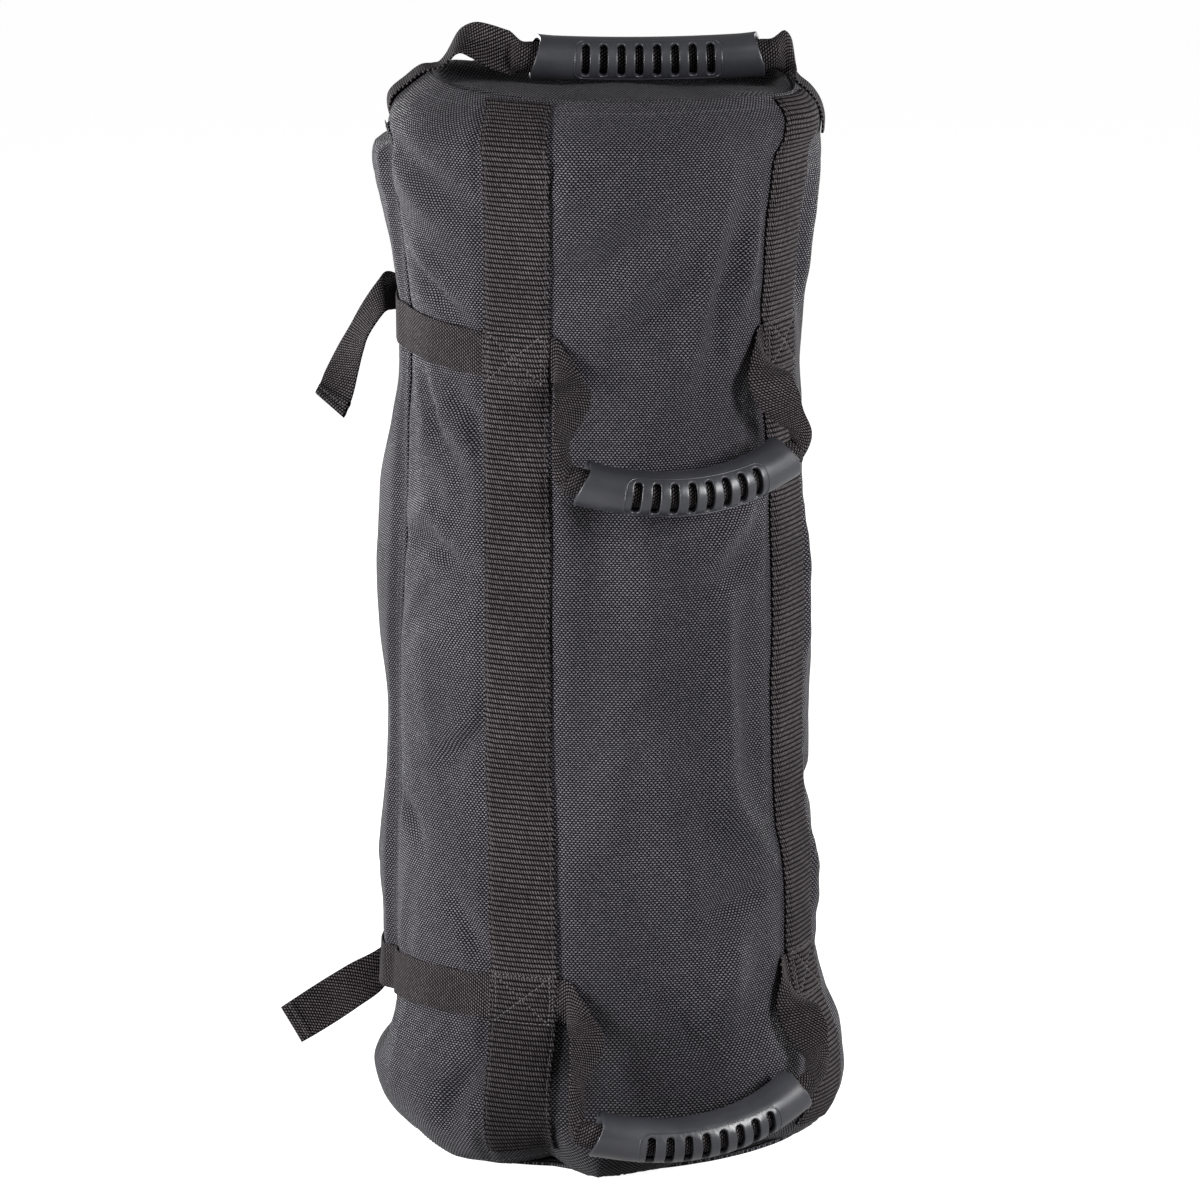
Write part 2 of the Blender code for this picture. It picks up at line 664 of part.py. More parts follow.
def buckle_plug(name, height):
    """Plug: a frame with a middle bar for the webbing, a guide and two sprung arms with barbs."""
    half, web_half = BUCKLE_WIDTH / 2, NARROW_WEB_WIDTH / 2 + SLOT_SIDE_ROOM
    start, end = PLUG_START, PLUG_START + PLUG_FRAME_LENGTH
    mid = BUCKLE_HEIGHT / 2
    low, high = mid - ARM_HEIGHT / 2, mid + ARM_HEIGHT / 2
    root = start + END_BAR / 2
    arm_in, arm_out = ARM_SPREAD, ARM_SPREAD + ARM_WIDTH
    barb_near = -WINDOW_NEAR - BARB_CLEARANCE
    barb_far, reach = barb_near - BARB_LENGTH, arm_out + BARB_REACH
    comb = [(root, arm_out), (barb_near, arm_out), (barb_near, reach), (barb_far, arm_out), (-ARM_LENGTH, arm_in),
            (root - END_BAR, arm_in), (root - END_BAR, GUIDE_WIDTH / 2), (-ARM_LENGTH, GUIDE_WIDTH / 2)]
    comb += [(x, -z) for x, z in reversed(comb)]
    frame = buckle_frame(height)
    plate = box_mesh(name, [((start, 0.0, -half), (end, PLUG_HEIGHT, half))], frame)
    arms = prism_mesh(name, comb, low, high, frame @ WIDTH_SECOND)
    plug = joined(name, [plate, arms], "buckle_plastic")
    inner = start + END_BAR
    outer = inner + PLUG_SLOT + MIDDLE_BAR
    cut(plug, [
        ((inner, -OVERRUN, -web_half), (inner + PLUG_SLOT, BUCKLE_HEIGHT, web_half)),
        ((outer, -OVERRUN, -web_half), (outer + PLUG_SLOT, BUCKLE_HEIGHT, web_half)),
    ], frame)
    carried(f"{name}_release", frame.translation, plug)


def web_wrap():
    """How far webbing's middle passes from a bar's corner on each side, to turn round it cut at 45 degrees."""
    return math.sqrt(2) * (WEB / 2 + SEAT_GAP)


def laid_place(angle, height, lift):
    """Where webbing of the narrow width lies on the round barrel, and the way its width leans there."""
    half = NARROW_WEB_WIDTH / 2
    low, high = round_radius(angle, height - half), round_radius(angle, height + half)
    middle = max((low + high) / 2, round_radius(angle, height))
    way = polar(angle, high, height + half) - polar(angle, low, height - half)
    return polar(angle, middle + lift, height), way.normalized()


def cinch_strap(name, level, rise, tail):
    """Narrow webbing from the left long strap, over the flap, round the plug's middle bar and out as a tail."""
    frame = buckle_frame(level + rise)
    up = Vector((0.0, 0.0, 1.0))
    root = -LONG_STRAP_ANGLE - LONG_STRAP_WIDTH / 2 / BAG_RADIUS - ROOT_GAP / BAG_RADIUS
    half_web = WEB / 2
    over = FLAP_ROOT + CLOTH / BAG_RADIUS
    sections = []
    for angle in (*spread(root, over + STRAP_RISE, 6), *spread(over, FLAP_EDGE, 6)):
        height = level + rise * (angle - root) / (BUCKLE_ANGLE - root)
        lift = LAID_GAP + half_web
        if angle <= over:
            lift = flap_offset(angle, height) + CLOTH + LAID_GAP + half_web
        sections.append(section(*laid_place(angle, height, lift)))
    inner = PLUG_START + END_BAR + PLUG_SLOT
    outer = inner + MIDDLE_BAR
    end = PLUG_START + PLUG_FRAME_LENGTH
    wrap = web_wrap()
    tail_depth = -half_web - SEAT_GAP
    under = tail_depth - WEB - 2 * SEAT_GAP
    route = [
        (end, under), (inner, under), (inner - wrap, under + wrap), (inner - wrap, PLUG_HEIGHT),
        (inner, PLUG_HEIGHT + wrap), (outer, PLUG_HEIGHT + wrap), (outer + wrap, PLUG_HEIGHT),
        (outer + wrap, wrap), (outer + 2 * wrap, tail_depth), (end + half_web, tail_depth),
    ]
    for along, out in route:
        sections.append(section(frame @ Vector((along, out, 0.0)), up))
    begin = Vector((end + half_web, tail_depth, 0.0))
    turned = frame.to_3x3()
    for (along, out, climb), way in tail:
        place = begin + TAIL_LENGTH * Vector((along, out, climb))
        sections.append(section(frame @ place, turned @ Vector(way)))
    last, before = sum(sections[-1][:2], Vector()) / 2, sum(sections[-2][:2], Vector()) / 2
    run = (last - before).normalized()
    way = sections[-1][0] - last
    for far in (SEAT_GAP, TAIL_LENGTH * TAIL_HEM_SHARE):
        sections.append(section(last + run * far, way, NARROW_WEB_WIDTH, 2 * WEB))
    ribbon(name, sections, "webbing")


def anchor_strap(name, height):
    """Short webbing sewn to the barrel's back, looped round the socket's end bar."""
    frame = buckle_frame(height)
    up = Vector((0.0, 0.0, 1.0))
    half_web = WEB / 2
    wrap = web_wrap()
    far, near = -SOCKET_LENGTH, -SOCKET_LENGTH + END_BAR
    begin = BUCKLE_ANGLE - math.asin((SOCKET_LENGTH + END_BAR) / buckle_radius(height))
    angles = spread(ANCHOR_END_ANGLE, begin, 4)
    sections = []
    for angle in angles:
        sections.append(section(*laid_place(angle, height, LAID_GAP + SEAT_GAP + 3 * half_web)))
    for along, out in (
        (far - wrap, half_web), (far - wrap, BUCKLE_HEIGHT), (far, BUCKLE_HEIGHT + wrap),
        (near, BUCKLE_HEIGHT + wrap), (near + wrap, BUCKLE_HEIGHT), (near + wrap, 0.0), (near, -wrap),
        (far, -wrap - half_web),
    ):
        sections.append(section(frame @ Vector((along, out, 0.0)), up))
    for angle in reversed(angles):
        sections.append(section(*laid_place(angle, height, LAID_GAP + half_web)))
    ribbon(name, sections, "webbing")


def grip_point(share, sag, bow):
    """The grip's centreline at a share of its length: it drops by sag and stands out by bow in the middle."""
    span = GRIP_LENGTH - 8 * (sag ** 2 + bow ** 2) / (3 * GRIP_LENGTH)
    middle = 1 - (2 * share - 1) ** 2
    return Vector((span * (share - 0.5), bow * middle, -sag * middle))


def grip_turn(share, sag, bow):
    """Frame along the centreline there, with Y out and Z up as nearly as it can."""
    step = 1 / GRIP_RINGS
    along = (grip_point(share + step, sag, bow) - grip_point(share - step, sag, bow)).normalized()
    up = (Vector((0.0, 0.0, 1.0)) - along * along.z).normalized()
    turned = Matrix((along, up.cross(along), up)).transposed().to_4x4()
    return Matrix.Translation(grip_point(share, sag, bow)) @ turned


def grip(name, frame, sag, bow, roll):
    """A moulded sleeve, slightly bowed, with slots through its outer side. frame has X along it and Y out."""
    outer, inner = [], []
    for i in range(GRIP_RINGS + 1):
        share = i / GRIP_RINGS
        ring = frame @ grip_turn(share, sag, bow)
        flare = read_table(GRIP_FLARE_SHARES, share)
        rings = ([], [])
        for k in range(GRIP_SIDES):
            spin = 2 * math.pi * k / GRIP_SIDES
            way = Vector((0.0, math.cos(spin), math.sin(spin)))
            rings[0].append(ring @ (way * GRIP_RADIUS * flare))
            rings[1].append(ring @ (way * (GRIP_RADIUS - GRIP_WALL)))
        outer.append(rings[0])
        inner.append(rings[1])
    sleeve = thick_sheet(name, outer, inner, "grip_rubber", ring=True)
    cutters = []
    for i in range(SLOTS):
        share = 0.5 + SLOT_ZONE_SHARE * ((i + 0.5) / SLOTS - 0.5)
        low = (-GRIP_SLOT_WIDTH / 2, GRIP_WALL, -GRIP_SLOT_HEIGHT / 2)
        high = (GRIP_SLOT_WIDTH / 2, GRIP_RADIUS + OVERRUN, GRIP_SLOT_HEIGHT / 2)
        cutters.append((low, high, grip_turn(share, sag, bow) @ Matrix.Rotation(-roll, 4, "X")))
    return cut(sleeve, cutters, frame)


def folded_core(frame, sag, bow, width_way):
    """The folded webbing in a grip, through the places of its rings, out of both mouths."""
    past = FOLD_INSET / GRIP_LENGTH
    shares = (-past, *spread(0.0, 1.0, GRIP_RINGS + 1), 1 + past)
    return [section(frame @ grip_point(1 - share, sag, bow), width_way, FOLD_WIDTH, FOLD_THICKNESS)
            for share in shares]


def grip_distance(grip_level, stand_off):
    """How far before the barrel's axis the line between a cross grip's ends lies, so the grip clears the wall."""
    least = 0.0
    for i in range(GRIP_RINGS + 1):
        point = grip_point(i / GRIP_RINGS, GRIP_SAG, GRIP_BOW)
        for step in (-GRIP_RADIUS, 0.0, GRIP_RADIUS):
            angle = HANDLE_TURN - math.atan2(point.x, BAG_RADIUS)
            clear = round_radius(angle, grip_level + point.z + step) + stand_off + GRIP_RADIUS
            least = max(least, math.sqrt(clear ** 2 - point.x ** 2) - point.y)
    return least


def clear_of_wall(point):
    """The point, moved outwards if need be so that webbing there clears the wall."""
    angle = math.atan2(point.x, -point.y)
    need = round_radius(angle, point.z) + LAID_GAP + WEB - point.xy.length
    return point + polar(angle, max(0.0, need), 0.0)


def handle_leg(side, level, mouth):
    """Sections of a leg of a cross handle, from its root at the long strap to near the grip's mouth."""
    edge = LONG_STRAP_ANGLE - (LONG_STRAP_WIDTH / 2 + ROOT_GAP) / BAG_RADIUS
    leg = []
    for inward in (0.0, HANDLE_LAID):
        leg.append(section(*laid_place(side * (edge - inward / BAG_RADIUS), level, LAID_GAP + WEB / 2)))
    root = (leg[-1][0] + leg[-1][1]) / 2
    angle = side * (edge - HANDLE_LAID / BAG_RADIUS)
    inward = Vector((-side * math.cos(angle), -abs(math.sin(angle)), 0.0))
    axes = Matrix((inward, polar(angle, 1.0, 0.0), Vector((0.0, 0.0, -1.0)))).transposed()
    for upper, lower, share, fold in LEG_SHARES:
        edges = [clear_of_wall(root + (mouth - root) * share + axes @ Vector(place) * NARROW_WEB_WIDTH)
                 for place in (upper, lower)]
        leg.append((*edges, WEB + (FOLD_THICKNESS - WEB) * fold))
    return leg


def cross_handle(name, level, tilt, roll, stand_off):
    """A handle between the long straps: webbing roots, two legs and a grip that hangs before the barrel."""
    grip_level = level - HANDLE_HANG
    place = Matrix.Translation(polar(HANDLE_TURN, grip_distance(grip_level, stand_off), grip_level))
    frame = place @ Matrix.Rotation(HANDLE_TURN + math.pi, 4, "Z") @ Matrix.Rotation(tilt, 4, "Y")
    sleeve = grip(f"{name}_grip", frame, GRIP_SAG, GRIP_BOW, roll)
    left, right = (handle_leg(side, level, frame @ grip_point(0.5 - side * 0.5, GRIP_SAG, GRIP_BOW))
                   for side in (-1, 1))
    core = folded_core(frame, GRIP_SAG, GRIP_BOW, Vector((0.0, 0.6, 1.0)))
    webbing = ribbon(f"{name}_webbing", left + core + list(reversed(right)), "webbing")
    root = (left[0][0] + left[0][1] + right[0][0] + right[0][1]) / 4
    carried(f"{name}_swing", root, sleeve, webbing)


def top_frame():
    """Frame of the top handle: X along it, Z up, at the middle of the top panel."""
    return Matrix.Rotation(TOP_ANGLE, 4, "Z")


def top_handle():
    """The handle over the top panel, sewn down over both shoulders."""
    frame = top_frame()
    place = frame @ Matrix.Translation((TOP_GRIP_SHIFT, 0.0, BAG_HEIGHT + TOP_GRIP_RISE))
    place = place @ Matrix.Rotation(math.pi, 4, "Z")
    sleeve = grip("top_grip", place, TOP_GRIP_SAG, 0.0, 0.0)
    turned = frame.to_3x3()
    across, up = Vector((0.0, 1.0, 0.0)), Vector((0.0, 0.0, 1.0))
    legs = []
    for side, table in ((-1, TOP_LEFT_SHARES), (1, TOP_RIGHT_SHARES)):
        angle = (math.pi / 2) * side + TOP_ANGLE
        leg = []
        for share in SEWN_SHARES:
            point = on_wall(angle, BAG_HEIGHT * share, LAID_GAP + WEB / 2)
            leg.append(section(point, turned @ across))
        for (along, rise), (sideways, upwards) in table:
            point = frame @ Vector((side * BAG_RADIUS * along, 0.0, BAG_HEIGHT + TOP_LOOP_RISE * rise))
            leg.append(section(point, turned @ (across * sideways + up * upwards)))
        legs.append(leg)
    core = folded_core(place, TOP_GRIP_SAG, 0.0, up)
    webbing = ribbon("top_handle_webbing", legs[0] + core + list(reversed(legs[1])), "webbing")
    carried("top_handle_lift", place.translation, sleeve, webbing)


def inner_ring(low, high, height, inset):
    """Ring of an inner bag between two heights, upright and inside the narrowest wall beside it."""
    ring = []
    for angle in spread(0.0, 2 * math.pi, INNER_SIDES + 1)[:-1]:
        wall = min(wall_radius(angle, h) for h in spread(low, high, INNER_SIDES))
        ring.append(polar(angle, wall - CLOTH - INNER_GAP - inset, height))
    return ring


def inner_shell(low, high, inset, top_inset):
    """Closed shape of an inner bag, or of what lies inside it by inset. It's rounded in at both ends."""
    draw = INNER_ROUND * INNER_DRAW_SHARE
    loops = [inner_ring(low, high, low + inset, draw + inset), inner_ring(low, high, low + INNER_ROUND, inset),
             inner_ring(low, high, high - INNER_ROUND, inset)]
    if top_inset is not None:
        loops.append(inner_ring(low, high, high - top_inset, draw + inset))
    return loops


def inner_bag(index):
    """One inner bag: its cloth with a mouth on top, the closure on the mouth, and the sand in it."""
    floor = CLOTH + SEAT_GAP
    ceiling = BAG_HEIGHT - TROUGH - CLOTH - SEAM_TAPE - 2 * LAID_GAP
    pitch = (ceiling - floor) / INNER_BAGS
    low = floor + pitch * index
    high = low + pitch - CLOSURE_HEIGHT - 2 * SEAT_GAP
    bag = loft(f"inner_bag_{index + 1}", inner_shell(low, high, 0.0, 0.0), "inner_cloth")
    hollow = loft(f"inner_bag_{index + 1}_hollow", inner_shell(low, high, INNER_CLOTH, INNER_CLOTH),
                  "inner_cloth")
    hollow.hide_render = True
    hollow.display_type = "WIRE"
    step = bag.modifiers.new("hollow", "BOOLEAN")
    step.operation = "DIFFERENCE"
    step.object = hollow
    mouth = (MOUTH_LENGTH / 2, MOUTH_WIDTH / 2)
    cut(bag, [((-mouth[0], -mouth[1], high - INNER_CLOTH - OVERRUN), (*mouth, high + OVERRUN))],
        Matrix.Identity(4))
    base = high + SEAT_GAP
    closure = ((-CLOSURE_LENGTH / 2, -CLOSURE_WIDTH / 2, base),
               (CLOSURE_LENGTH / 2, CLOSURE_WIDTH / 2, base + CLOSURE_HEIGHT))
    boxes(f"inner_closure_{index + 1}", [closure], Matrix.Identity(4), "webbing")
    loft(f"sand_fill_{index + 1}", inner_shell(low, high, INNER_CLOTH + SEAT_GAP, None), "sand")


def main():
    for old in list(bpy.data.objects):
        bpy.data.objects.remove(old, do_unlink=True)
    barrel_panel()
    ends()
    long_strap("left_long_strap", -LONG_STRAP_ANGLE)
    long_strap("right_long_strap", LONG_STRAP_ANGLE)
    zip_flap()
    zip_parts()
    for name, level, tilt, roll, stand_off, rise, tail in (
        ("upper", UPPER_LEVEL, UPPER_TILT, 0.0, UPPER_STAND_OFF, UPPER_RISE, UPPER_TAIL_SHARES),
        ("lower", LOWER_LEVEL, LOWER_TILT, LOWER_ROLL, LOWER_STAND_OFF, LOWER_RISE, LOWER_TAIL_SHARES),
    ):
        cross_handle(f"{name}_handle", level, tilt, roll, stand_off)
        cinch_strap(f"{name}_cinch_strap", level, rise, tail)
        buckle_socket(f"{name}_buckle_socket", level + rise)
        buckle_plug(f"{name}_buckle_plug", level + rise)
        anchor_strap(f"{name}_anchor_strap", level + rise)
    top_handle()
    for index in range(INNER_BAGS):
        inner_bag(index)


main()
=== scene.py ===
import math
import bpy
import bmesh
import numpy as np
from mathutils import Matrix, Vector


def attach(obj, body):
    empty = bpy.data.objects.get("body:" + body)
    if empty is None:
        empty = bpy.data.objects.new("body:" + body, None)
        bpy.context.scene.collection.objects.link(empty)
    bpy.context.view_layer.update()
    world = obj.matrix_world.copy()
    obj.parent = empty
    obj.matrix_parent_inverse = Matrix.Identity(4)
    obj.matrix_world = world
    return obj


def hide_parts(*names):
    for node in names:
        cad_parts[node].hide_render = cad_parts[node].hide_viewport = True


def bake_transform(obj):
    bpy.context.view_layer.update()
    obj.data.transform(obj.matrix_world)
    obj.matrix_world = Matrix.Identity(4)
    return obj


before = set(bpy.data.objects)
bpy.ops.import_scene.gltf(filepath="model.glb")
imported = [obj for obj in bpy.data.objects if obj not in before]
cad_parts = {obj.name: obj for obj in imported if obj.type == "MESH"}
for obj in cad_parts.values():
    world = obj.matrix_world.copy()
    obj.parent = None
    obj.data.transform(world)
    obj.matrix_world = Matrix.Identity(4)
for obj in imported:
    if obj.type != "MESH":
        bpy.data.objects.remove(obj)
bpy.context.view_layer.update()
scene = bpy.context.scene
scene.view_settings.view_transform = "Standard"

cameraSettings = {
    "azimuth": -18.7, "elevation": 12.2, "distance": 5.12, "lens": 271.9, "target": (0.0, 0.0, 0.303),
    "frame": 1200, "pixel": 0.000565,  # the frame's pixels, and the metres that one of them shows at the target
}
lightSettings = {
    "world": 0.07, "mirrored": 0.25,
    "lamps": (  # name, azimuth, elevation, distance, size, watts
        ("leftSoftbox", -82.0, 8.0, 1.6, (0.35, 0.8), 53.0),
        ("topSoftbox", -30.0, 48.0, 2.0, (0.4, 0.25), 3.0),
        ("frontSoftbox", 34.0, 18.0, 2.0, (0.45, 0.9), 51.0),
        ("rightStrip", 68.0, 12.0, 1.6, (0.22, 0.9), 4.0),
        ("rearSoftbox", 118.0, 10.0, 1.9, (0.6, 0.8), 20.0),
        ("backSoftbox", -160.0, 10.0, 2.0, (0.7, 0.8), 24.0),
    ),
    "aim": (0.0, 0.0, 0.30), "floorColour": (0.38, 0.38, 0.38, 1.0), "floorGlow": 0.93, "floorSize": 40.0,
}


def wayBack(azimuth, elevation):
    a, e = math.radians(azimuth), math.radians(elevation)
    return Vector((math.sin(a) * math.cos(e), -math.cos(a) * math.cos(e), math.sin(e)))


def aroundObject(azimuth, elevation, distance, target):
    back = wayBack(azimuth, elevation)
    return Vector(target) + back * distance, back.to_track_quat("Z", "Y").to_euler()


def makeCamera(s):
    data = bpy.data.cameras.new("photoCamera")
    data.lens, data.sensor_width, data.clip_end = s["lens"], 36.0, 60.0
    camera = bpy.data.objects.new("photoCamera", data)
    camera.location, camera.rotation_euler = aroundObject(s["azimuth"], s["elevation"], s["distance"], s["target"])
    scene.collection.objects.link(camera)
    scene.camera = camera


def calc(tree, operation, *values):
    made = tree.nodes.new("ShaderNodeMath")
    made.operation = operation
    for socket, value in zip(made.inputs, values):
        if isinstance(value, (int, float)):
            socket.default_value = value
        else:
            tree.links.new(value, socket)
    return made.outputs[0]


def plus(tree, start, value, factor):
    return calc(tree, "ADD", start, calc(tree, "MULTIPLY", value, factor))


def paleWhereSeen(tree, mirrored):
    # 1 for what the camera sees, also through clear things, and a share of it in reflections
    rays = tree.nodes.new("ShaderNodeLightPath").outputs
    glossy = calc(tree, "MULTIPLY", rays["Is Glossy Ray"], mirrored)
    return calc(tree, "MAXIMUM", glossy, calc(tree, "MAXIMUM", rays["Is Camera Ray"], rays["Is Transmission Ray"]))


def makeStudio(s):
    for name, azimuth, elevation, distance, size, watts in s["lamps"]:
        data = bpy.data.lights.new(name, "AREA")
        data.shape, data.size, data.size_y, data.energy = "RECTANGLE", size[0], size[1], watts
        lamp = bpy.data.objects.new(name, data)
        lamp.location, lamp.rotation_euler = aroundObject(azimuth, elevation, distance, s["aim"])
        scene.collection.objects.link(lamp)
    world = bpy.data.worlds.new("studioWorld")
    scene.world = world
    world.use_nodes = True
    tree = world.node_tree
    back = tree.nodes["Background"]
    level = tree.nodes.new("ShaderNodeMapRange")
    level.inputs["To Min"].default_value = s["world"]
    level.inputs["To Max"].default_value = 1.0
    tree.links.new(paleWhereSeen(tree, s["mirrored"]), level.inputs["Value"])
    tree.links.new(level.outputs[0], back.inputs["Strength"])
    back.inputs["Color"].default_value = (1.0, 1.0, 1.0, 1.0)
    makeFloor(s)


def makeFloor(s):
    half = s["floorSize"] / 2
    mesh = bpy.data.meshes.new("studioFloor")
    mesh.from_pydata([(-half, -half, 0), (half, -half, 0), (half, half, 0), (-half, half, 0)], [], [(0, 1, 2, 3)])
    floor = bpy.data.objects.new("studioFloor", mesh)
    scene.collection.objects.link(floor)
    finish = bpy.data.materials.new("studioPaper")
    finish.use_nodes = True
    tree = finish.node_tree
    shader = tree.nodes["Principled BSDF"]
    shader.inputs["Base Color"].default_value = s["floorColour"]
    shader.inputs["Roughness"].default_value = 0.9
    shader.inputs["Emission Color"].default_value = (1.0, 1.0, 1.0, 1.0)
    glow = calc(tree, "MULTIPLY", paleWhereSeen(tree, s["mirrored"]), s["floorGlow"])
    tree.links.new(glow, shader.inputs["Emission Strength"])
    mesh.materials.append(finish)


def seenAt(x, y, toward):
    # the place that shows at a pixel of the frame, that far towards the camera from the middle of the object
    s = cameraSettings
    a, middle = math.radians(s["azimuth"]), s["frame"] / 2
    back, right = wayBack(s["azimuth"], s["elevation"]), Vector((math.cos(a), math.sin(a), 0.0))
    scale = s["pixel"] * (s["distance"] - toward) / s["distance"]
    aside, above = right * ((x - middle) * scale), back.cross(right) * ((middle - y) * scale)
    return Vector(s["target"]) + back * toward + aside + above


makeCamera(cameraSettings)
makeStudio(lightSettings)
print("camera and studio made")

# the barrel's form: angles run from the front, -Y, towards +X
barrel = {
    "height": 0.6045, "radius": 0.120, "turn": 0.118,  # the last is the cloth's length for a radian round the barrel
    "cloth": 0.0016, "lean": 0.0055, "leanAngle": 71.0, "topLean": 0.0065, "lowest": 0.0002,
    "rimLevels": (  # degrees, mm up, mm out
        (-180, -3, 4), (-150, -3, 5), (-128, 1, 7), (-108, 4, 8), (-90, 2.5, 9), (-75, 0, 8), (-47, -1, 5),
        (-20, -1, 3), (10, -1.5, 4), (35, -3, 9), (50, -4, 13), (62, -3, 9), (78, -1, 4), (105, 0, 3),
        (145, -2, 4), (180, -3, 4),
    ),
    "zipAngle": -114.0, "zipFlat": 9.0, "zipFade": 26.0,
    "zipDepth": 0.101, "slotWidth": 0.014, "slotLow": 0.085, "slotHigh": 0.550,
    "columns": 252, "rows": (16, 134, 30),
    "outline": (
        (0.0, 0.935), (0.007, 0.985), (0.020, 1.045), (0.038, 1.093), (0.060, 1.113), (0.096, 1.100),
        (0.132, 1.045), (0.174, 1.012), (0.248, 1.004), (0.323, 0.992), (0.397, 0.983), (0.473, 0.979),
        (0.546, 0.963), (0.604, 0.947), (0.678, 0.940), (0.733, 0.924), (0.789, 0.924), (0.827, 0.945),
        (0.882, 0.987), (0.926, 1.027), (0.953, 1.015), (0.973, 0.945), (0.988, 0.865), (1.0, 0.785),
    ),
}
straps = {
    "web": 0.0014, "longWidth": 0.040, "narrow": 0.025, "laid": 0.0006, "clear": 0.0004,
    "step": 0.0016, "tailStep": 0.0012,  # between the rows of a mesh
    "leftMiddle": (  # metres, degrees
        (0.0, 39.9), (0.0935, 39.3), (0.1275, 39.6), (0.156, 40.1), (0.190, 40.6), (0.235, 41.7), (0.281, 42.0),
        (0.326, 42.4), (0.371, 42.9), (0.405, 43.4), (0.439, 43.6), (0.485, 43.5), (0.507, 42.8), (0.536, 41.7),
        (0.564, 40.8), (0.587, 42.5), (0.605, 46.3),
    ),
    "rightMiddle": (
        (0.0, 50.0), (0.112, 50.5), (0.141, 50.5), (0.160, 49.8), (0.176, 48.2), (0.190, 46.2), (0.222, 45.8),
        (0.268, 45.4), (0.314, 46.9), (0.360, 48.2), (0.418, 46.8), (0.475, 45.5), (0.498, 44.7), (0.526, 42.4),
        (0.541, 41.4), (0.555, 40.8), (0.565, 41.6), (0.578, 44.6), (0.594, 47.4), (0.605, 49.0),
    ),
    "upper": 0.461, "lower": 0.100, "rootGap": 0.0018, "tuck": 0.0060,
}
foldStep = 2.5e-3
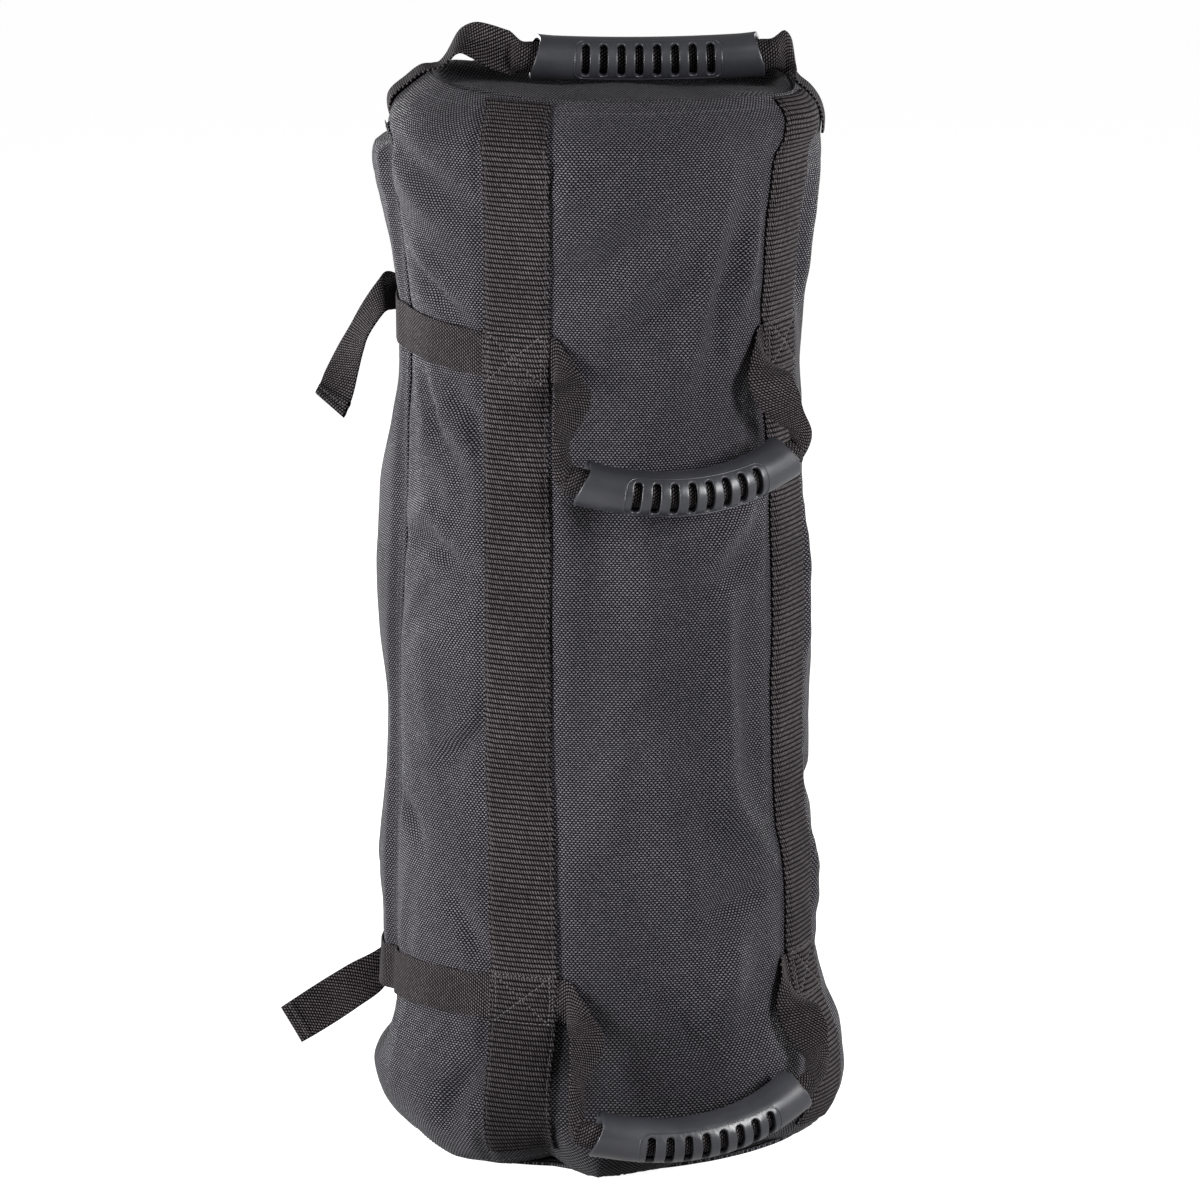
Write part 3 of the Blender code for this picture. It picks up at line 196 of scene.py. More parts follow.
# the cloth's folds: height of the ridge in steps (a valley is negative), half width in mm, then degrees and metres
folds = (
    (-2.4, 6, ((-84, .505), (-73, .4905), (-60, .476))), (1.6, 8, ((-84, .519), (-73, .506), (-62, .495))),
    (-1.8, 9, ((-90, .575), (-74, .561), (-50, .541))), (1.4, 10, ((-88, .553), (-72, .540), (-56, .525))),
    (-1.8, 6, ((-80, .442), (-74, .414), (-60, .385))), (-1.6, 6, ((-69, .447), (-57, .424), (-54, .398))),
    (1.2, 7, ((-77, .443), (-66, .420), (-55, .402))),
    (-2.2, 6, ((-89, .347), (-75, .351), (-56, .337))), (1.5, 8, ((-89, .362), (-75, .366), (-60, .354))),
    (-1.8, 6, ((-52, .250), (-60, .236), (-71, .221))), (1.2, 8, ((-54, .264), (-62, .249), (-74, .236))),
    (-2.0, 6, ((-89, .199), (-82, .190), (-75, .178))), (-1.6, 6, ((-63, .158), (-55, .133), (-52, .116))),
    (1.2, 8, ((-80, .290), (-68, .300), (-55, .310))), (-3.4, 9, ((-63, .016), (-57, .044), (-49, .066))),
    (2.0, 10, ((-23, .577), (-26, .561), (-31, .548))), (1.6, 9, ((-31, .5265), (-20, .533), (-7, .554))),
    (-1.5, 9, ((-31, .507), (-18, .513), (-4, .536))), (1.6, 9, ((-22, .474), (-7, .505), (3, .526))),
    (-1.5, 9, ((-17, .455), (-4, .484), (5, .500))),
    (2.2, 8, ((17, .566), (13, .512), (9.7, .467), (2.7, .440))),
    (-1.8, 8, ((24, .560), (20, .515), (17, .470), (11, .435))),
    (1.4, 6, ((27.7, .552), (27, .515), (26.5, .480))), (-1.3, 13, ((-20, .435), (-18, .358), (-16, .280))),
    (1.4, 10, ((-8, .420), (-6, .350), (-5, .300))),
    (2.0, 8, ((33, .376), (21.5, .3625), (11, .346))), (-1.8, 8, ((31, .352), (20, .338), (8, .328))),
    (2.2, 10, ((16.4, .346), (17.1, .287), (17.8, .210), (24, .192), (33, .172))),
    (1.4, 12, ((-9, .300), (-13.5, .249), (-16.7, .1925), (-29, .163))),
    (-2.6, 12, ((-24, .096), (-21, .060), (-17, .030))),
    (1.5, 13, ((-5, .280), (-.5, .208), (8.3, .139), (12, .086))),
    (-0.5, 22, ((-8, .262), (-9, .190), (-7, .110))), (-2.2, 7, ((8, .146), (22, .152), (33, .157))),
    (2.8, 11, ((21, .134), (18, .106), (14, .084))), (-1.8, 7, ((-5, .113), (4.8, .0825), (14, .058))),
    (-1.6, 9, ((26, .310), (27, .260), (27.5, .215))), (1.2, 8, ((-27, .395), (-27, .320), (-27.5, .250))),
    # the right side
    (-2.0, 8, ((56, .560), (62, .512), (66, .470))), (1.8, 9, ((66, .556), (72, .505), (74, .455))),
    (-1.8, 9, ((84, .545), (92, .500), (104, .470))), (2.0, 10, ((58, .380), (60, .330), (59, .270))),
    (-2.2, 9, ((70, .410), (73, .350), (72, .290))), (1.6, 9, ((84, .390), (90, .330), (98, .300))),
    (-2.0, 8, ((56, .222), (66, .200), (80, .196))), (1.8, 9, ((56, .180), (66, .150), (70, .110))),
    (-2.4, 9, ((78, .120), (88, .075), (100, .050))), (1.8, 9, ((96, .180), (110, .160), (124, .150))),
    # the back
    (-2.2, 9, ((120, .560), (132, .520), (150, .500))), (1.8, 10, ((128, .575), (142, .540), (160, .522))),
    (-2.0, 10, ((118, .430), (121, .370), (119, .310))), (2.0, 11, ((134, .420), (138, .350), (135, .280))),
    (-2.2, 9, ((150, .400), (156, .340), (168, .300))), (1.7, 10, ((164, .420), (171, .365), (185, .330))),
    (-1.9, 9, ((126, .250), (140, .225), (156, .230))), (1.8, 10, ((140, .205), (156, .185), (176, .190))),
    (-2.4, 9, ((132, .110), (144, .075), (162, .060))), (2.0, 10, ((166, .135), (178, .100), (190, .085))),
    (-2.0, 9, ((196, .430), (202, .370), (199, .310))), (1.8, 9, ((182, .240), (196, .215), (206, .200))),
    (-2.0, 8, ((190, .560), (198, .530), (206, .505))), (-1.8, 9, ((188, .165), (198, .150), (208, .140))),
)
# turns round the barrel, waves along it, phase, mm high
broadSwells = ((3, 9.0, 0.4, 0.7), (5, 14.0, 2.1, 0.55), (2, 21.0, 4.0, 0.5), (7, 6.0, 1.0, 0.4))
# how far the seam at the floor stands out or in there, mm by degrees
floorLobes = (
    (-180, 3), (-150, -3), (-128, 4), (-105, -1), (-85, -2), (-63, 4), (-48, 1), (-33, -8), (-25, 2),
    (-19.4, 9), (-13, 5), (-6, 1), (10, -5), (24, -7), (36, -6), (49, -2), (69, 3), (90, -2), (112, 4),
    (135, -3), (158, 3), (180, 3),
)
flap = {
    "root": -93.0, "edge": -132.0, "low": 0.132, "high": 0.960, "bulge": 0.0087, "columns": 34, "rows": 210,
    "bulges": (
        (0.132, 0.0), (0.20, 0.0), (0.26, 0.35), (0.35, 0.05), (0.40, 0.0), (0.473, 0.60), (0.546, 1.0),
        (0.604, 1.0), (0.678, 0.25), (0.72, 0.0), (0.83, 0.0), (0.90, 0.30), (0.96, 0.0),
    ),
    "rootSeams": (0.0028, 0.0070), "rearSeam": 0.0075, "endSeam": 0.007,
}


def smoothStep(low, high, value):
    t = np.clip((np.asarray(value, float) - low) / (high - low), 0.0, 1.0)
    return t * t * (3 - 2 * t)


def hermite(t, gap, start, end, startSlope, endSlope):
    return ((2 * t ** 3 - 3 * t ** 2 + 1) * start + (t ** 3 - 2 * t ** 2 + t) * gap * startSlope
            + (-2 * t ** 3 + 3 * t ** 2) * end + (t ** 3 - t ** 2) * gap * endSlope)


def smoothRead(table, value):
    # a curve through the table's pairs that never swings past them
    xs, ys = np.array(table, float).T
    value = np.asarray(value, float)
    gap, rise = np.diff(xs), np.diff(ys) / np.diff(xs)
    slope = np.zeros_like(ys)
    slope[0], slope[-1] = rise[0], rise[-1]
    before, after = rise[:-1], rise[1:]
    wide, near = 2 * gap[1:] + gap[:-1], gap[1:] + 2 * gap[:-1]
    same = before * after > 0
    safe = np.where(same, before, 1.0), np.where(same, after, 1.0)
    slope[1:-1] = np.where(same, (wide + near) / (wide / safe[0] + near / safe[1]), 0.0)
    i = np.clip(np.searchsorted(xs, value, side="right") - 1, 0, len(xs) - 2)
    t = np.clip((value - xs[i]) / gap[i], 0.0, 1.0)
    return hermite(t, gap[i], ys[i], ys[i + 1], slope[i], slope[i + 1])


def strapMiddle(side, height):
    return side * np.radians(smoothRead(straps["leftMiddle" if side < 0 else "rightMiddle"], height))


def turnBetween(angle, other):
    return (angle - other + math.pi) % (2 * math.pi) - math.pi


def roundRadius(angle, height):
    share = height / barrel["height"]
    lean = barrel["lean"] * (1 - smoothStep(0.07, 0.20, share)) + barrel["topLean"] * smoothStep(0.953, 1.0, share)
    lean = lean * np.cos(angle - math.radians(barrel["leanAngle"]))
    radius = barrel["radius"] * smoothRead(barrel["outline"], share) + lean
    return radius + 1e-3 * aroundRim(angle, 2) * smoothStep(0.938, 0.985, share)


def aroundRim(angle, column):
    table = np.array(barrel["rimLevels"], float)[:, (0, column)]
    return smoothRead(table, np.degrees(turnBetween(angle, 0.0)))


def roundPlaces(angle, radius, level):
    return np.stack(np.broadcast_arrays(radius * np.sin(angle), -radius * np.cos(angle), level), -1)


def foldDistance(angle, height, points):
    # shortest way over the unrolled cloth from each place to a line of points, and how far along the line that is
    best, along = np.full(np.shape(angle), 1e9), np.zeros(np.shape(angle))
    for k, ((a0, z0), (a1, z1)) in enumerate(zip(points, points[1:])):
        x = turnBetween(angle, math.radians(a0)) * barrel["turn"]
        dx, dz = math.radians(a1 - a0) * barrel["turn"], z1 - z0
        t = np.clip((x * dx + (height - z0) * dz) / (dx * dx + dz * dz), 0.0, 1.0)
        far = np.hypot(x - dx * t, height - z0 - dz * t)
        along = np.where(far < best, (k + t) / (len(points) - 1), along)
        best = np.minimum(best, far)
    return best, along


wrinkleSettings = {
    "seed": 11, "count": 150, "long": (0.02, 0.055), "height": (0.03, 0.58), "lean": (-1.0, 1.0),
    "wave": (0.014, 0.030), "high": (0.20, 0.55), "wide": 0.024,
}


def wrinkleField(s):
    random = np.random.default_rng(s["seed"])
    waves = []
    for _ in range(s["count"]):
        long = random.uniform(*s["long"])
        waves.append((random.uniform(-math.pi, math.pi), random.uniform(*s["height"]), random.uniform(*s["lean"]),
                      random.uniform(*s["wave"]), long, random.uniform(0, 6.28), random.uniform(*s["high"])))
    return waves


wrinkles = wrinkleField(wrinkleSettings)
pulls = {  # metres from the middle of the webbing, and how far the cloth is held, sunk or puckered there
    "strapHeld": (0.018, 0.027), "strapHold": 0.55, "sinkAt": 0.0215, "sinkWide": 0.0035, "sink": 1.5e-3,
    "puckerAt": 0.026, "puckerWide": 0.006, "puckerLong": 0.016, "pucker": 0.25e-3,
    "cinchHeld": (0.011, 0.019), "cinchHold": 0.75, "cinchSink": 1.0e-3, "cinchFrom": (-50, -62), "zipHold": 0.35,
}


def clothRise(angle, height):
    # how far the filled cloth stands outside its smooth form there, with folds, wrinkles and the pull of the seams
    angle, height = np.broadcast_arrays(np.asarray(angle, float), np.asarray(height, float))
    rise, degrees = np.zeros(angle.shape), np.degrees(turnBetween(angle, 0.0))
    for high, width, points in folds:
        far, along = foldDistance(angle, height, points)
        rise += high * foldStep * (0.25 + 0.75 * np.sin(math.pi * along)) * np.exp(-(far / (width * 1e-3)) ** 2)
    for a, z, lean, wave, long, phase, high in wrinkles:
        x = turnBetween(angle, a) * barrel["turn"]
        y = height - z
        across, along = x * math.cos(lean) + y * math.sin(lean), y * math.cos(lean) - x * math.sin(lean)
        near = np.exp(-(across / wrinkleSettings["wide"]) ** 2 - (along / long) ** 2)
        rise += high * 1e-3 * near * np.cos(2 * math.pi * across / wave + phase)
    for k, (turns, tall, phase, high) in enumerate(broadSwells):
        rise += high * 1e-3 * np.sin(turns * angle + tall * height + phase) * np.cos(tall * 1.7 * height + 2.3 * k)
    # webbing holds the cloth flat, and the cloth beside it puckers
    s = pulls
    for side in (-1, 1):
        x = np.abs(turnBetween(angle, strapMiddle(side, height))) * barrel["turn"]
        rise *= 1 - s["strapHold"] * (1 - smoothStep(*s["strapHeld"], x))
        rise -= s["sink"] * np.exp(-((x - s["sinkAt"]) / s["sinkWide"]) ** 2)
        puckers = np.sin(height * 2 * math.pi / s["puckerLong"] + 3 * np.sin(height * 31) + side)
        rise += s["pucker"] * np.exp(-((x - s["puckerAt"]) / s["puckerWide"]) ** 2) * puckers
    along = smoothStep(*s["cinchFrom"], degrees)
    along = along * (np.degrees(turnBetween(angle, math.radians(barrel["zipAngle"]))) > -75)
    for level, climb in ((straps["upper"], 0.010), (straps["lower"], -0.008)):
        middle = level + climb * np.clip((-51.8 - degrees) / 95.0, 0.0, 1.0)
        beside = np.abs(height - middle)
        held = (1 - smoothStep(*s["cinchHeld"], beside)) * along
        rise = rise * (1 - s["cinchHold"] * held) - s["cinchSink"] * held
    # the zip's flat stays even, and the ends keep their seams
    off = np.abs(turnBetween(angle, math.radians(barrel["zipAngle"])))
    even = 1 - smoothStep(math.radians(20), math.radians(30), off)
    rise *= 1 - s["zipHold"] * even
    rise *= smoothStep(-0.004, 0.016, height) * (1 - smoothStep(0.585, 0.6045, height))
    lobes = np.interp(degrees, *np.array(floorLobes, float).T)
    rise += lobes * 1e-3 * (1 - smoothStep(0.006, 0.055, height))
    return rise


def wallRadius(angle, height):
    off = np.abs(turnBetween(angle, math.radians(barrel["zipAngle"])))
    share = height / barrel["height"]
    flatHalf, fade = math.radians(barrel["zipFlat"]), math.radians(barrel["zipFade"])
    beside = 1 - smoothStep(flatHalf, fade, off)
    tall = smoothStep(0.060, 0.132, share) * (1 - smoothStep(0.930, 0.980, share))
    flat = barrel["zipDepth"] / np.cos(np.minimum(off, flatHalf))
    rounded = roundRadius(angle, height)
    return rounded + (flat - rounded) * beside * tall


def rimRise(angle, height):
    return 1e-3 * aroundRim(angle, 1) * smoothStep(0.93, 1.0, height / barrel["height"])


def onWall(angle, height, offset=0.0, flat=True, rise=True):
    # a place of the wall, moved square to it
    angle, height, offset = np.broadcast_arrays(*(np.asarray(value, float) for value in (angle, height, offset)))
    share = height / barrel["height"]
    low, high = np.clip(share - 0.006, 0, 1), np.clip(share + 0.006, 0, 1)
    lean = barrel["radius"] * (smoothRead(barrel["outline"], high) - smoothRead(barrel["outline"], low))
    lean = lean / ((high - low) * barrel["height"])
    size = np.hypot(1.0, lean)
    if rise is True:
        offset = offset + clothRise(angle, height) * (1 - zipShade(angle, height) if flat else 1.0)
    radius = (wallRadius if flat else roundRadius)(angle, height) + offset / size
    level = height + rimRise(angle, height) - offset * lean / size
    return roundPlaces(angle, radius, np.maximum(level, barrel["lowest"]))


def zipShade(angle, height):
    # 1 in the flat behind the flap, where the cloth lies even
    off = np.abs(turnBetween(angle, math.radians(barrel["zipAngle"])))
    share = height / barrel["height"]
    tall = smoothStep(0.085, 0.12, share) * (1 - smoothStep(0.95, 0.98, share))
    return (1 - smoothStep(math.radians(13), math.radians(19), off)) * tall


def facesOfGrid(rows, columns, ring, gap=None):
    spans = columns if ring else columns - 1
    i, j = np.meshgrid(np.arange(rows - 1), np.arange(spans), indexing="ij")
    if gap is not None:
        keep = ~gap
        i, j = i[keep], j[keep]
    i, j = i.ravel(), j.ravel()
    return np.stack([np.stack((i + up, j + on), -1) for up, on in ((0, 0), (0, 1), (1, 1), (1, 0))], 1)


def meshFrom(name, points, faces, places=None):
    mesh = bpy.data.meshes.new(name)
    mesh.from_pydata([tuple(p) for p in np.asarray(points, float).tolist()], [], [tuple(f) for f in faces])
    mesh.update()
    if places is not None:
        layer = mesh.uv_layers.new(name="UVMap")
        layer.data.foreach_set("uv", np.asarray(places, np.float32).ravel())
    mesh.shade_smooth()
    return mesh


def closedVolume(points, faces):
    total = 0.0
    for face in faces:
        a = points[face[0]]
        for k in range(1, len(face) - 1):
            total += np.dot(a, np.cross(points[face[k]], points[face[k + 1]]))
    return total / 6


def shellMesh(name, outer, inner, uv, ring=False, gap=None, gapBox=None):
    # a closed sheet between two grids of rows and columns, with an optional rectangular opening
    rows, columns = outer.shape[:2]
    quads = facesOfGrid(rows, columns, ring, gap)
    back = rows * columns
    index = quads[..., 0] * columns + quads[..., 1] % columns
    places = uv[quads[..., 0], quads[..., 1]]
    faces = [index, index[:, ::-1] + back]
    spots = [places, places[:, ::-1]]

    def strip(pairs):
        a, b = np.array(pairs[:-1]), np.array(pairs[1:])
        if not len(a):
            return
        ia, ib = a[:, 0] * columns + a[:, 1] % columns, b[:, 0] * columns + b[:, 1] % columns
        faces.append(np.stack((ib, ia, ia + back, ib + back), 1))
        ua, ub = uv[a[:, 0], a[:, 1]], uv[b[:, 0], b[:, 1]]
        spots.append(np.stack((ub, ua, ua, ub), 1))

    last = columns if ring else columns - 1
    strip([(0, j) for j in range(last + 1)])
    strip([(rows - 1, j) for j in range(last, -1, -1)])
    if not ring:
        strip([(i, 0) for i in range(rows - 1, -1, -1)])
        strip([(i, last) for i in range(rows)])
    if gapBox:
        r0, r1, c0, c1 = gapBox
        strip([(r1, j) for j in range(c0, c1 + 1)])
        strip([(i, c1) for i in range(r1, r0 - 1, -1)])
        strip([(r0, j) for j in range(c1, c0 - 1, -1)])
        strip([(i, c0) for i in range(r0, r1 + 1)])
    faces, spots = np.concatenate(faces), np.concatenate(spots)
    points = np.concatenate((outer.reshape(-1, 3), inner.reshape(-1, 3)))
    a, b, c, d = (points[faces[:, k]] for k in range(4))
    volume = sum(np.einsum("ij,ij->i", a, np.cross(p, q)).sum() for p, q in ((b, c), (c, d)))
    if volume < 0:
        faces, spots = faces[:, ::-1], spots[:, ::-1]
    return meshFrom(name, points, faces.tolist(), spots.reshape(-1, 2))


def lengthsAlong(line):
    return np.concatenate(([0.0], np.cumsum(np.linalg.norm(np.diff(line, axis=0), axis=-1))))


def measuredPlaces(grid, ring=False):
    # UV places in metres, across the columns and along the rows
    along = lengthsAlong(grid[:, grid.shape[1] // 2])
    steps = np.linalg.norm(np.diff(grid, axis=1), axis=-1)
    if ring:
        steps = np.concatenate((steps, np.linalg.norm(grid[:, :1] - grid[:, -1:], axis=-1)), axis=1)
    across = np.concatenate(([0.0], np.cumsum(steps.max(axis=0))))
    return np.stack(np.broadcast_arrays(across[None, :], along[:, None]), -1).astype(float)


def gridNormals(grid, ring=False):
    if ring:
        across = np.roll(grid, -1, axis=1) - np.roll(grid, 1, axis=1)
    else:
        across = np.gradient(grid, axis=1)
    along = np.gradient(grid, axis=0)
    normal = np.cross(across, along)
    return normal / np.maximum(np.linalg.norm(normal, axis=-1, keepdims=True), 1e-12)


def withEdges(grid, thickness):
    # adds columns close to both edges, for their rounding
    def beside(edge, further, shares):
        reach = np.linalg.norm(further - edge, axis=-1, keepdims=True).mean()
        return [(edge + (further - edge) * min(0.8, s * thickness / reach))[:, None] for s in shares]
    left = beside(grid[:, 0], grid[:, 1], (0.18, 0.55))
    right = beside(grid[:, -1], grid[:, -2], (0.55, 0.18))
    return np.concatenate([grid[:, :1], *left, grid[:, 1:-1], *right, grid[:, -1:]], axis=1)


def sheetMesh(name, grid, thickness, ring=False, rounded=True, thick=None):
    # a sheet of that thickness about a middle grid, with soft edges
    if rounded and not ring:
        grid = withEdges(grid, float(np.max(thickness)))
    half = np.full(grid.shape[:2], thickness / 2.0)
    if thick is not None:
        half = half * thick(grid.shape[:2])
    if rounded and not ring:
        for column, share in ((0, 0.40), (1, 0.78), (2, 0.97), (-3, 0.97), (-2, 0.78), (-1, 0.40)):
            half[:, column] *= share
    normal = gridNormals(grid, ring)
    outer, inner = grid + normal * half[..., None], grid - normal * half[..., None]
    return shellMesh(name, outer, inner, measuredPlaces(grid, ring), ring)


def throughRows(values, knots, count):
    # a smooth curve through rows of numbers, at even steps along the knots
    values, knots = np.asarray(values, float), np.asarray(knots, float)
    slope = np.zeros_like(values)
    gap = np.diff(knots)[:, None]
    rise = np.diff(values, axis=0) / gap
    slope[1:-1] = (rise[:-1] * gap[1:] + rise[1:] * gap[:-1]) / (gap[:-1] + gap[1:])
    slope[0], slope[-1] = rise[0], rise[-1]
    at = np.linspace(knots[0], knots[-1], count)
    i = np.clip(np.searchsorted(knots, at, side="right") - 1, 0, len(knots) - 2)
    g = gap[i, 0][:, None]
    t = ((at - knots[i])[:, None]) / g
    return hermite(t, g, values[i], values[i + 1], slope[i], slope[i + 1])


def cutCorners(rows, times=2):
    for _ in range(times):
        before, after = rows[:-1], rows[1:]
        near, far = before * 0.75 + after * 0.25, before * 0.25 + after * 0.75
        mixed = np.stack((near, far), axis=1).reshape(-1, *rows.shape[1:])
        rows = np.concatenate((rows[:1], mixed[1:-1], rows[-1:]))
    return rows


def evenRows(grid, step):
    along = lengthsAlong(grid[:, grid.shape[1] // 2])
    keep = np.concatenate(([True], np.diff(along) > 1e-7))
    grid, along = grid[keep], along[keep]
    at = np.linspace(0.0, along[-1], max(2, int(along[-1] / step) + 1))
    columns = grid.reshape(len(grid), -1).T
    return np.stack([np.interp(at, along, column) for column in columns], 1).reshape(len(at), *grid.shape[1:])


def curledGrid(middle, across, chord, width, columns=11):
    # webbing of that width at each row: where its edges come closer it curls outwards
    along = np.gradient(middle, axis=0)
    along /= np.linalg.norm(along, axis=1, keepdims=True)
    out = np.cross(along, across)
    out /= np.linalg.norm(out, axis=1, keepdims=True)
    ratio = np.clip(chord / width, 0.05, 0.9995)
    turn = np.full(len(ratio), 1.0)
    for _ in range(40):  # sin(x)/x = ratio, where x is half the curl
        value = np.sin(turn) / turn - ratio
        slope = (turn * np.cos(turn) - np.sin(turn)) / turn ** 2
        turn = np.clip(turn - value / slope, 0.02, 3.0)
    radius, turn = (chord / (2 * np.sin(turn)))[:, None, None], turn[:, None, None]
    angle = turn * np.linspace(1, -1, columns)[None, :, None]
    sideways = across[:, None] * radius * np.sin(angle)
    return middle[:, None] + sideways + out[:, None] * radius * (np.cos(angle) - np.cos(turn))


def handleGrid(edges, curls, step=straps["step"], columns=11):
    # a smooth run of webbing through pairs of edge points, each with its share of curling
    high, low = np.array([tuple(h) for h, l in edges]), np.array([tuple(l) for h, l in edges])
    middle, across = (high + low) / 2, high - low
    chord = np.linalg.norm(across, axis=1, keepdims=True)
    way = across / chord
    knots = lengthsAlong(middle) * 0.4 + 0.3 * lengthsAlong(high) + 0.3 * lengthsAlong(low)
    rows = np.concatenate((middle, way, chord, np.array(curls, float)[:, None]), 1)
    fine = throughRows(rows, knots, int(knots[-1] / step))
    middle, way = fine[:, :3], fine[:, 3:6]
    chord, curl = np.minimum(fine[:, 6], straps["narrow"]), np.clip(fine[:, 7], 0, 1)
    way /= np.linalg.norm(way, axis=1, keepdims=True)
    return curledGrid(middle, way, chord, chord + (straps["narrow"] - chord) * curl, columns)


def addPiece(name, mesh, material, body, nodes=()):
    piece = bpy.data.objects.new(name, mesh)
    scene.collection.objects.link(piece)
    mesh.materials.clear()
    mesh.materials.append(material)
    if body:
        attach(piece, body)
    if nodes:
        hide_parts(*nodes)
    return piece


def addWebbing(name, grid, body, node, thick=None):
    mesh = sheetMesh(name, grid, straps["web"], thick=thick)
    return addPiece(name, mesh, narrowWebbing, body, (node,))


def startMaterial(name):
    made = bpy.data.materials.new(name)
    made.use_nodes = True
    return made, made.node_tree, made.node_tree.nodes["Principled BSDF"]


def remap(tree, value, fromMin, fromMax, toMin=0.0, toMax=1.0):
    made = tree.nodes.new("ShaderNodeMapRange")
    made.interpolation_type = "SMOOTHSTEP"
    for socket, number in zip(("From Min", "From Max", "To Min", "To Max"), (fromMin, fromMax, toMin, toMax)):
        made.inputs[socket].default_value = number
    tree.links.new(value, made.inputs["Value"])
    return made.outputs[0]


def blendColours(tree, share, low, high):
    made = tree.nodes.new("ShaderNodeMix")
    made.data_type = "RGBA"
    for socket, value in ((made.inputs[0], share), (made.inputs[6], low), (made.inputs[7], high)):
        if isinstance(value, (tuple, float)):
            socket.default_value = (*value, 1.0) if isinstance(value, tuple) and len(value) == 3 else value
        else:
            tree.links.new(value, socket)
    return made.outputs[2]


def noiseField(tree, coordinates, scale, detail=3.0, roughness=0.55):
    made = tree.nodes.new("ShaderNodeTexNoise")
    made.inputs["Scale"].default_value = scale
    made.inputs["Detail"].default_value = detail
    made.inputs["Roughness"].default_value = roughness
    tree.links.new(coordinates, made.inputs["Vector"])
    return made.outputs["Fac"]


def surfacePlaces(tree):
    spread = tree.nodes.new("ShaderNodeUVMap")
    spread.uv_map = "UVMap"
    parts = tree.nodes.new("ShaderNodeSeparateXYZ")
    tree.links.new(spread.outputs[0], parts.inputs[0])
    return parts.outputs[0], parts.outputs[1]


def objectPlaces(tree):
    return tree.nodes.new("ShaderNodeTexCoord").outputs["Object"]


footPatch = {"aside": 0.34, "left": (-0.082, -0.064), "right": (0.092, 0.066), "top": (0.125, 0.072), "dark": 0.42}


def footShade(tree, spot, level):
    # cloth and straps are darker low on the front, in the shade of the lower handle
    s = footPatch
    parts = tree.nodes.new("ShaderNodeSeparateXYZ")
    tree.links.new(spot, parts.inputs[0])
    across = calc(tree, "SUBTRACT", parts.outputs[0], calc(tree, "MULTIPLY", parts.outputs[1], s["aside"]))
    inside = calc(tree, "MULTIPLY", remap(tree, across, *s["left"]), remap(tree, across, *s["right"]))
    front = calc(tree, "LESS_THAN", parts.outputs[1], 0.0)
    low = calc(tree, "MULTIPLY", remap(tree, parts.outputs[2], *s["top"]), front)
    dark = calc(tree, "MULTIPLY", calc(tree, "MULTIPLY", inside, low), s["dark"])
    return calc(tree, "MULTIPLY", level, calc(tree, "SUBTRACT", 1.0, dark))


def cellRandom(tree, a, b):
    pair = tree.nodes.new("ShaderNodeCombineXYZ")
    tree.links.new(a, pair.inputs[0])
    tree.links.new(b, pair.inputs[1])
    made = tree.nodes.new("ShaderNodeTexWhiteNoise")
    made.noise_dimensions = "2D"
    tree.links.new(pair.outputs[0], made.inputs["Vector"])
    return made.outputs["Value"]


def bumpFrom(tree, shader, height, strength, distance):
    made = tree.nodes.new("ShaderNodeBump")
    made.inputs["Strength"].default_value = strength
    made.inputs["Distance"].default_value = distance
    tree.links.new(height, made.inputs["Height"])
    tree.links.new(made.outputs[0], shader.inputs["Normal"])


def dottedWeave(tree, u, v, across, along, slant=0.0):
    # staggered yarn crossings: how far each place lies on a yarn, and a number for each crossing
    rows = calc(tree, "DIVIDE", v, along)
    row, inRow = calc(tree, "FLOOR", rows), calc(tree, "SUBTRACT", calc(tree, "FRACT", rows), 0.5)
    shift = calc(tree, "MULTIPLY", calc(tree, "PINGPONG", row, 1.0), 0.5)
    moved = calc(tree, "ADD", calc(tree, "DIVIDE", u, across), shift)
    moved = plus(tree, moved, inRow, slant)
    cell, inCell = calc(tree, "FLOOR", moved), calc(tree, "SUBTRACT", calc(tree, "FRACT", moved), 0.5)
    sideways, lengthways = (calc(tree, "POWER", calc(tree, "ABSOLUTE", calc(tree, "DIVIDE", place, half)), 2.0)
                            for place, half in ((inCell, 0.43), (inRow, 0.46)))
    return calc(tree, "ADD", sideways, lengthways), cellRandom(tree, cell, row), inCell, inRow


def wornLevel(tree, spot, level, scale, low, high):
    # paler and darker in broad patches
    patches = remap(tree, noiseField(tree, spot, scale, 4.0), 0.25, 0.75, low, high)
    return calc(tree, "MULTIPLY", level, patches)


def yarnLook(tree, shader, s, yarn, level):
    # the yarn's colour at that level over the gaps, whose near-black colour is painted shade in the recesses between
    # the yarns, and how dull and soft it is
    lit = tree.nodes.new("ShaderNodeVectorMath")
    lit.operation = "SCALE"
    lit.inputs[0].default_value = s["yarn"]
    tree.links.new(level, lit.inputs["Scale"])
    tree.links.new(blendColours(tree, yarn, s["gap"], lit.outputs[0]), shader.inputs["Base Color"])
    tree.links.new(remap(tree, yarn, 0.0, 1.0, *s["rough"]), shader.inputs["Roughness"])
    for socket, value in zip(("Sheen Weight", "Sheen Roughness", "Specular IOR Level"), s["soft"]):
        shader.inputs[socket].default_value = value


def unevenness(tree, spot, scale, size):
    return calc(tree, "MULTIPLY", calc(tree, "SUBTRACT", noiseField(tree, spot, scale, 2.0), 0.5), size)
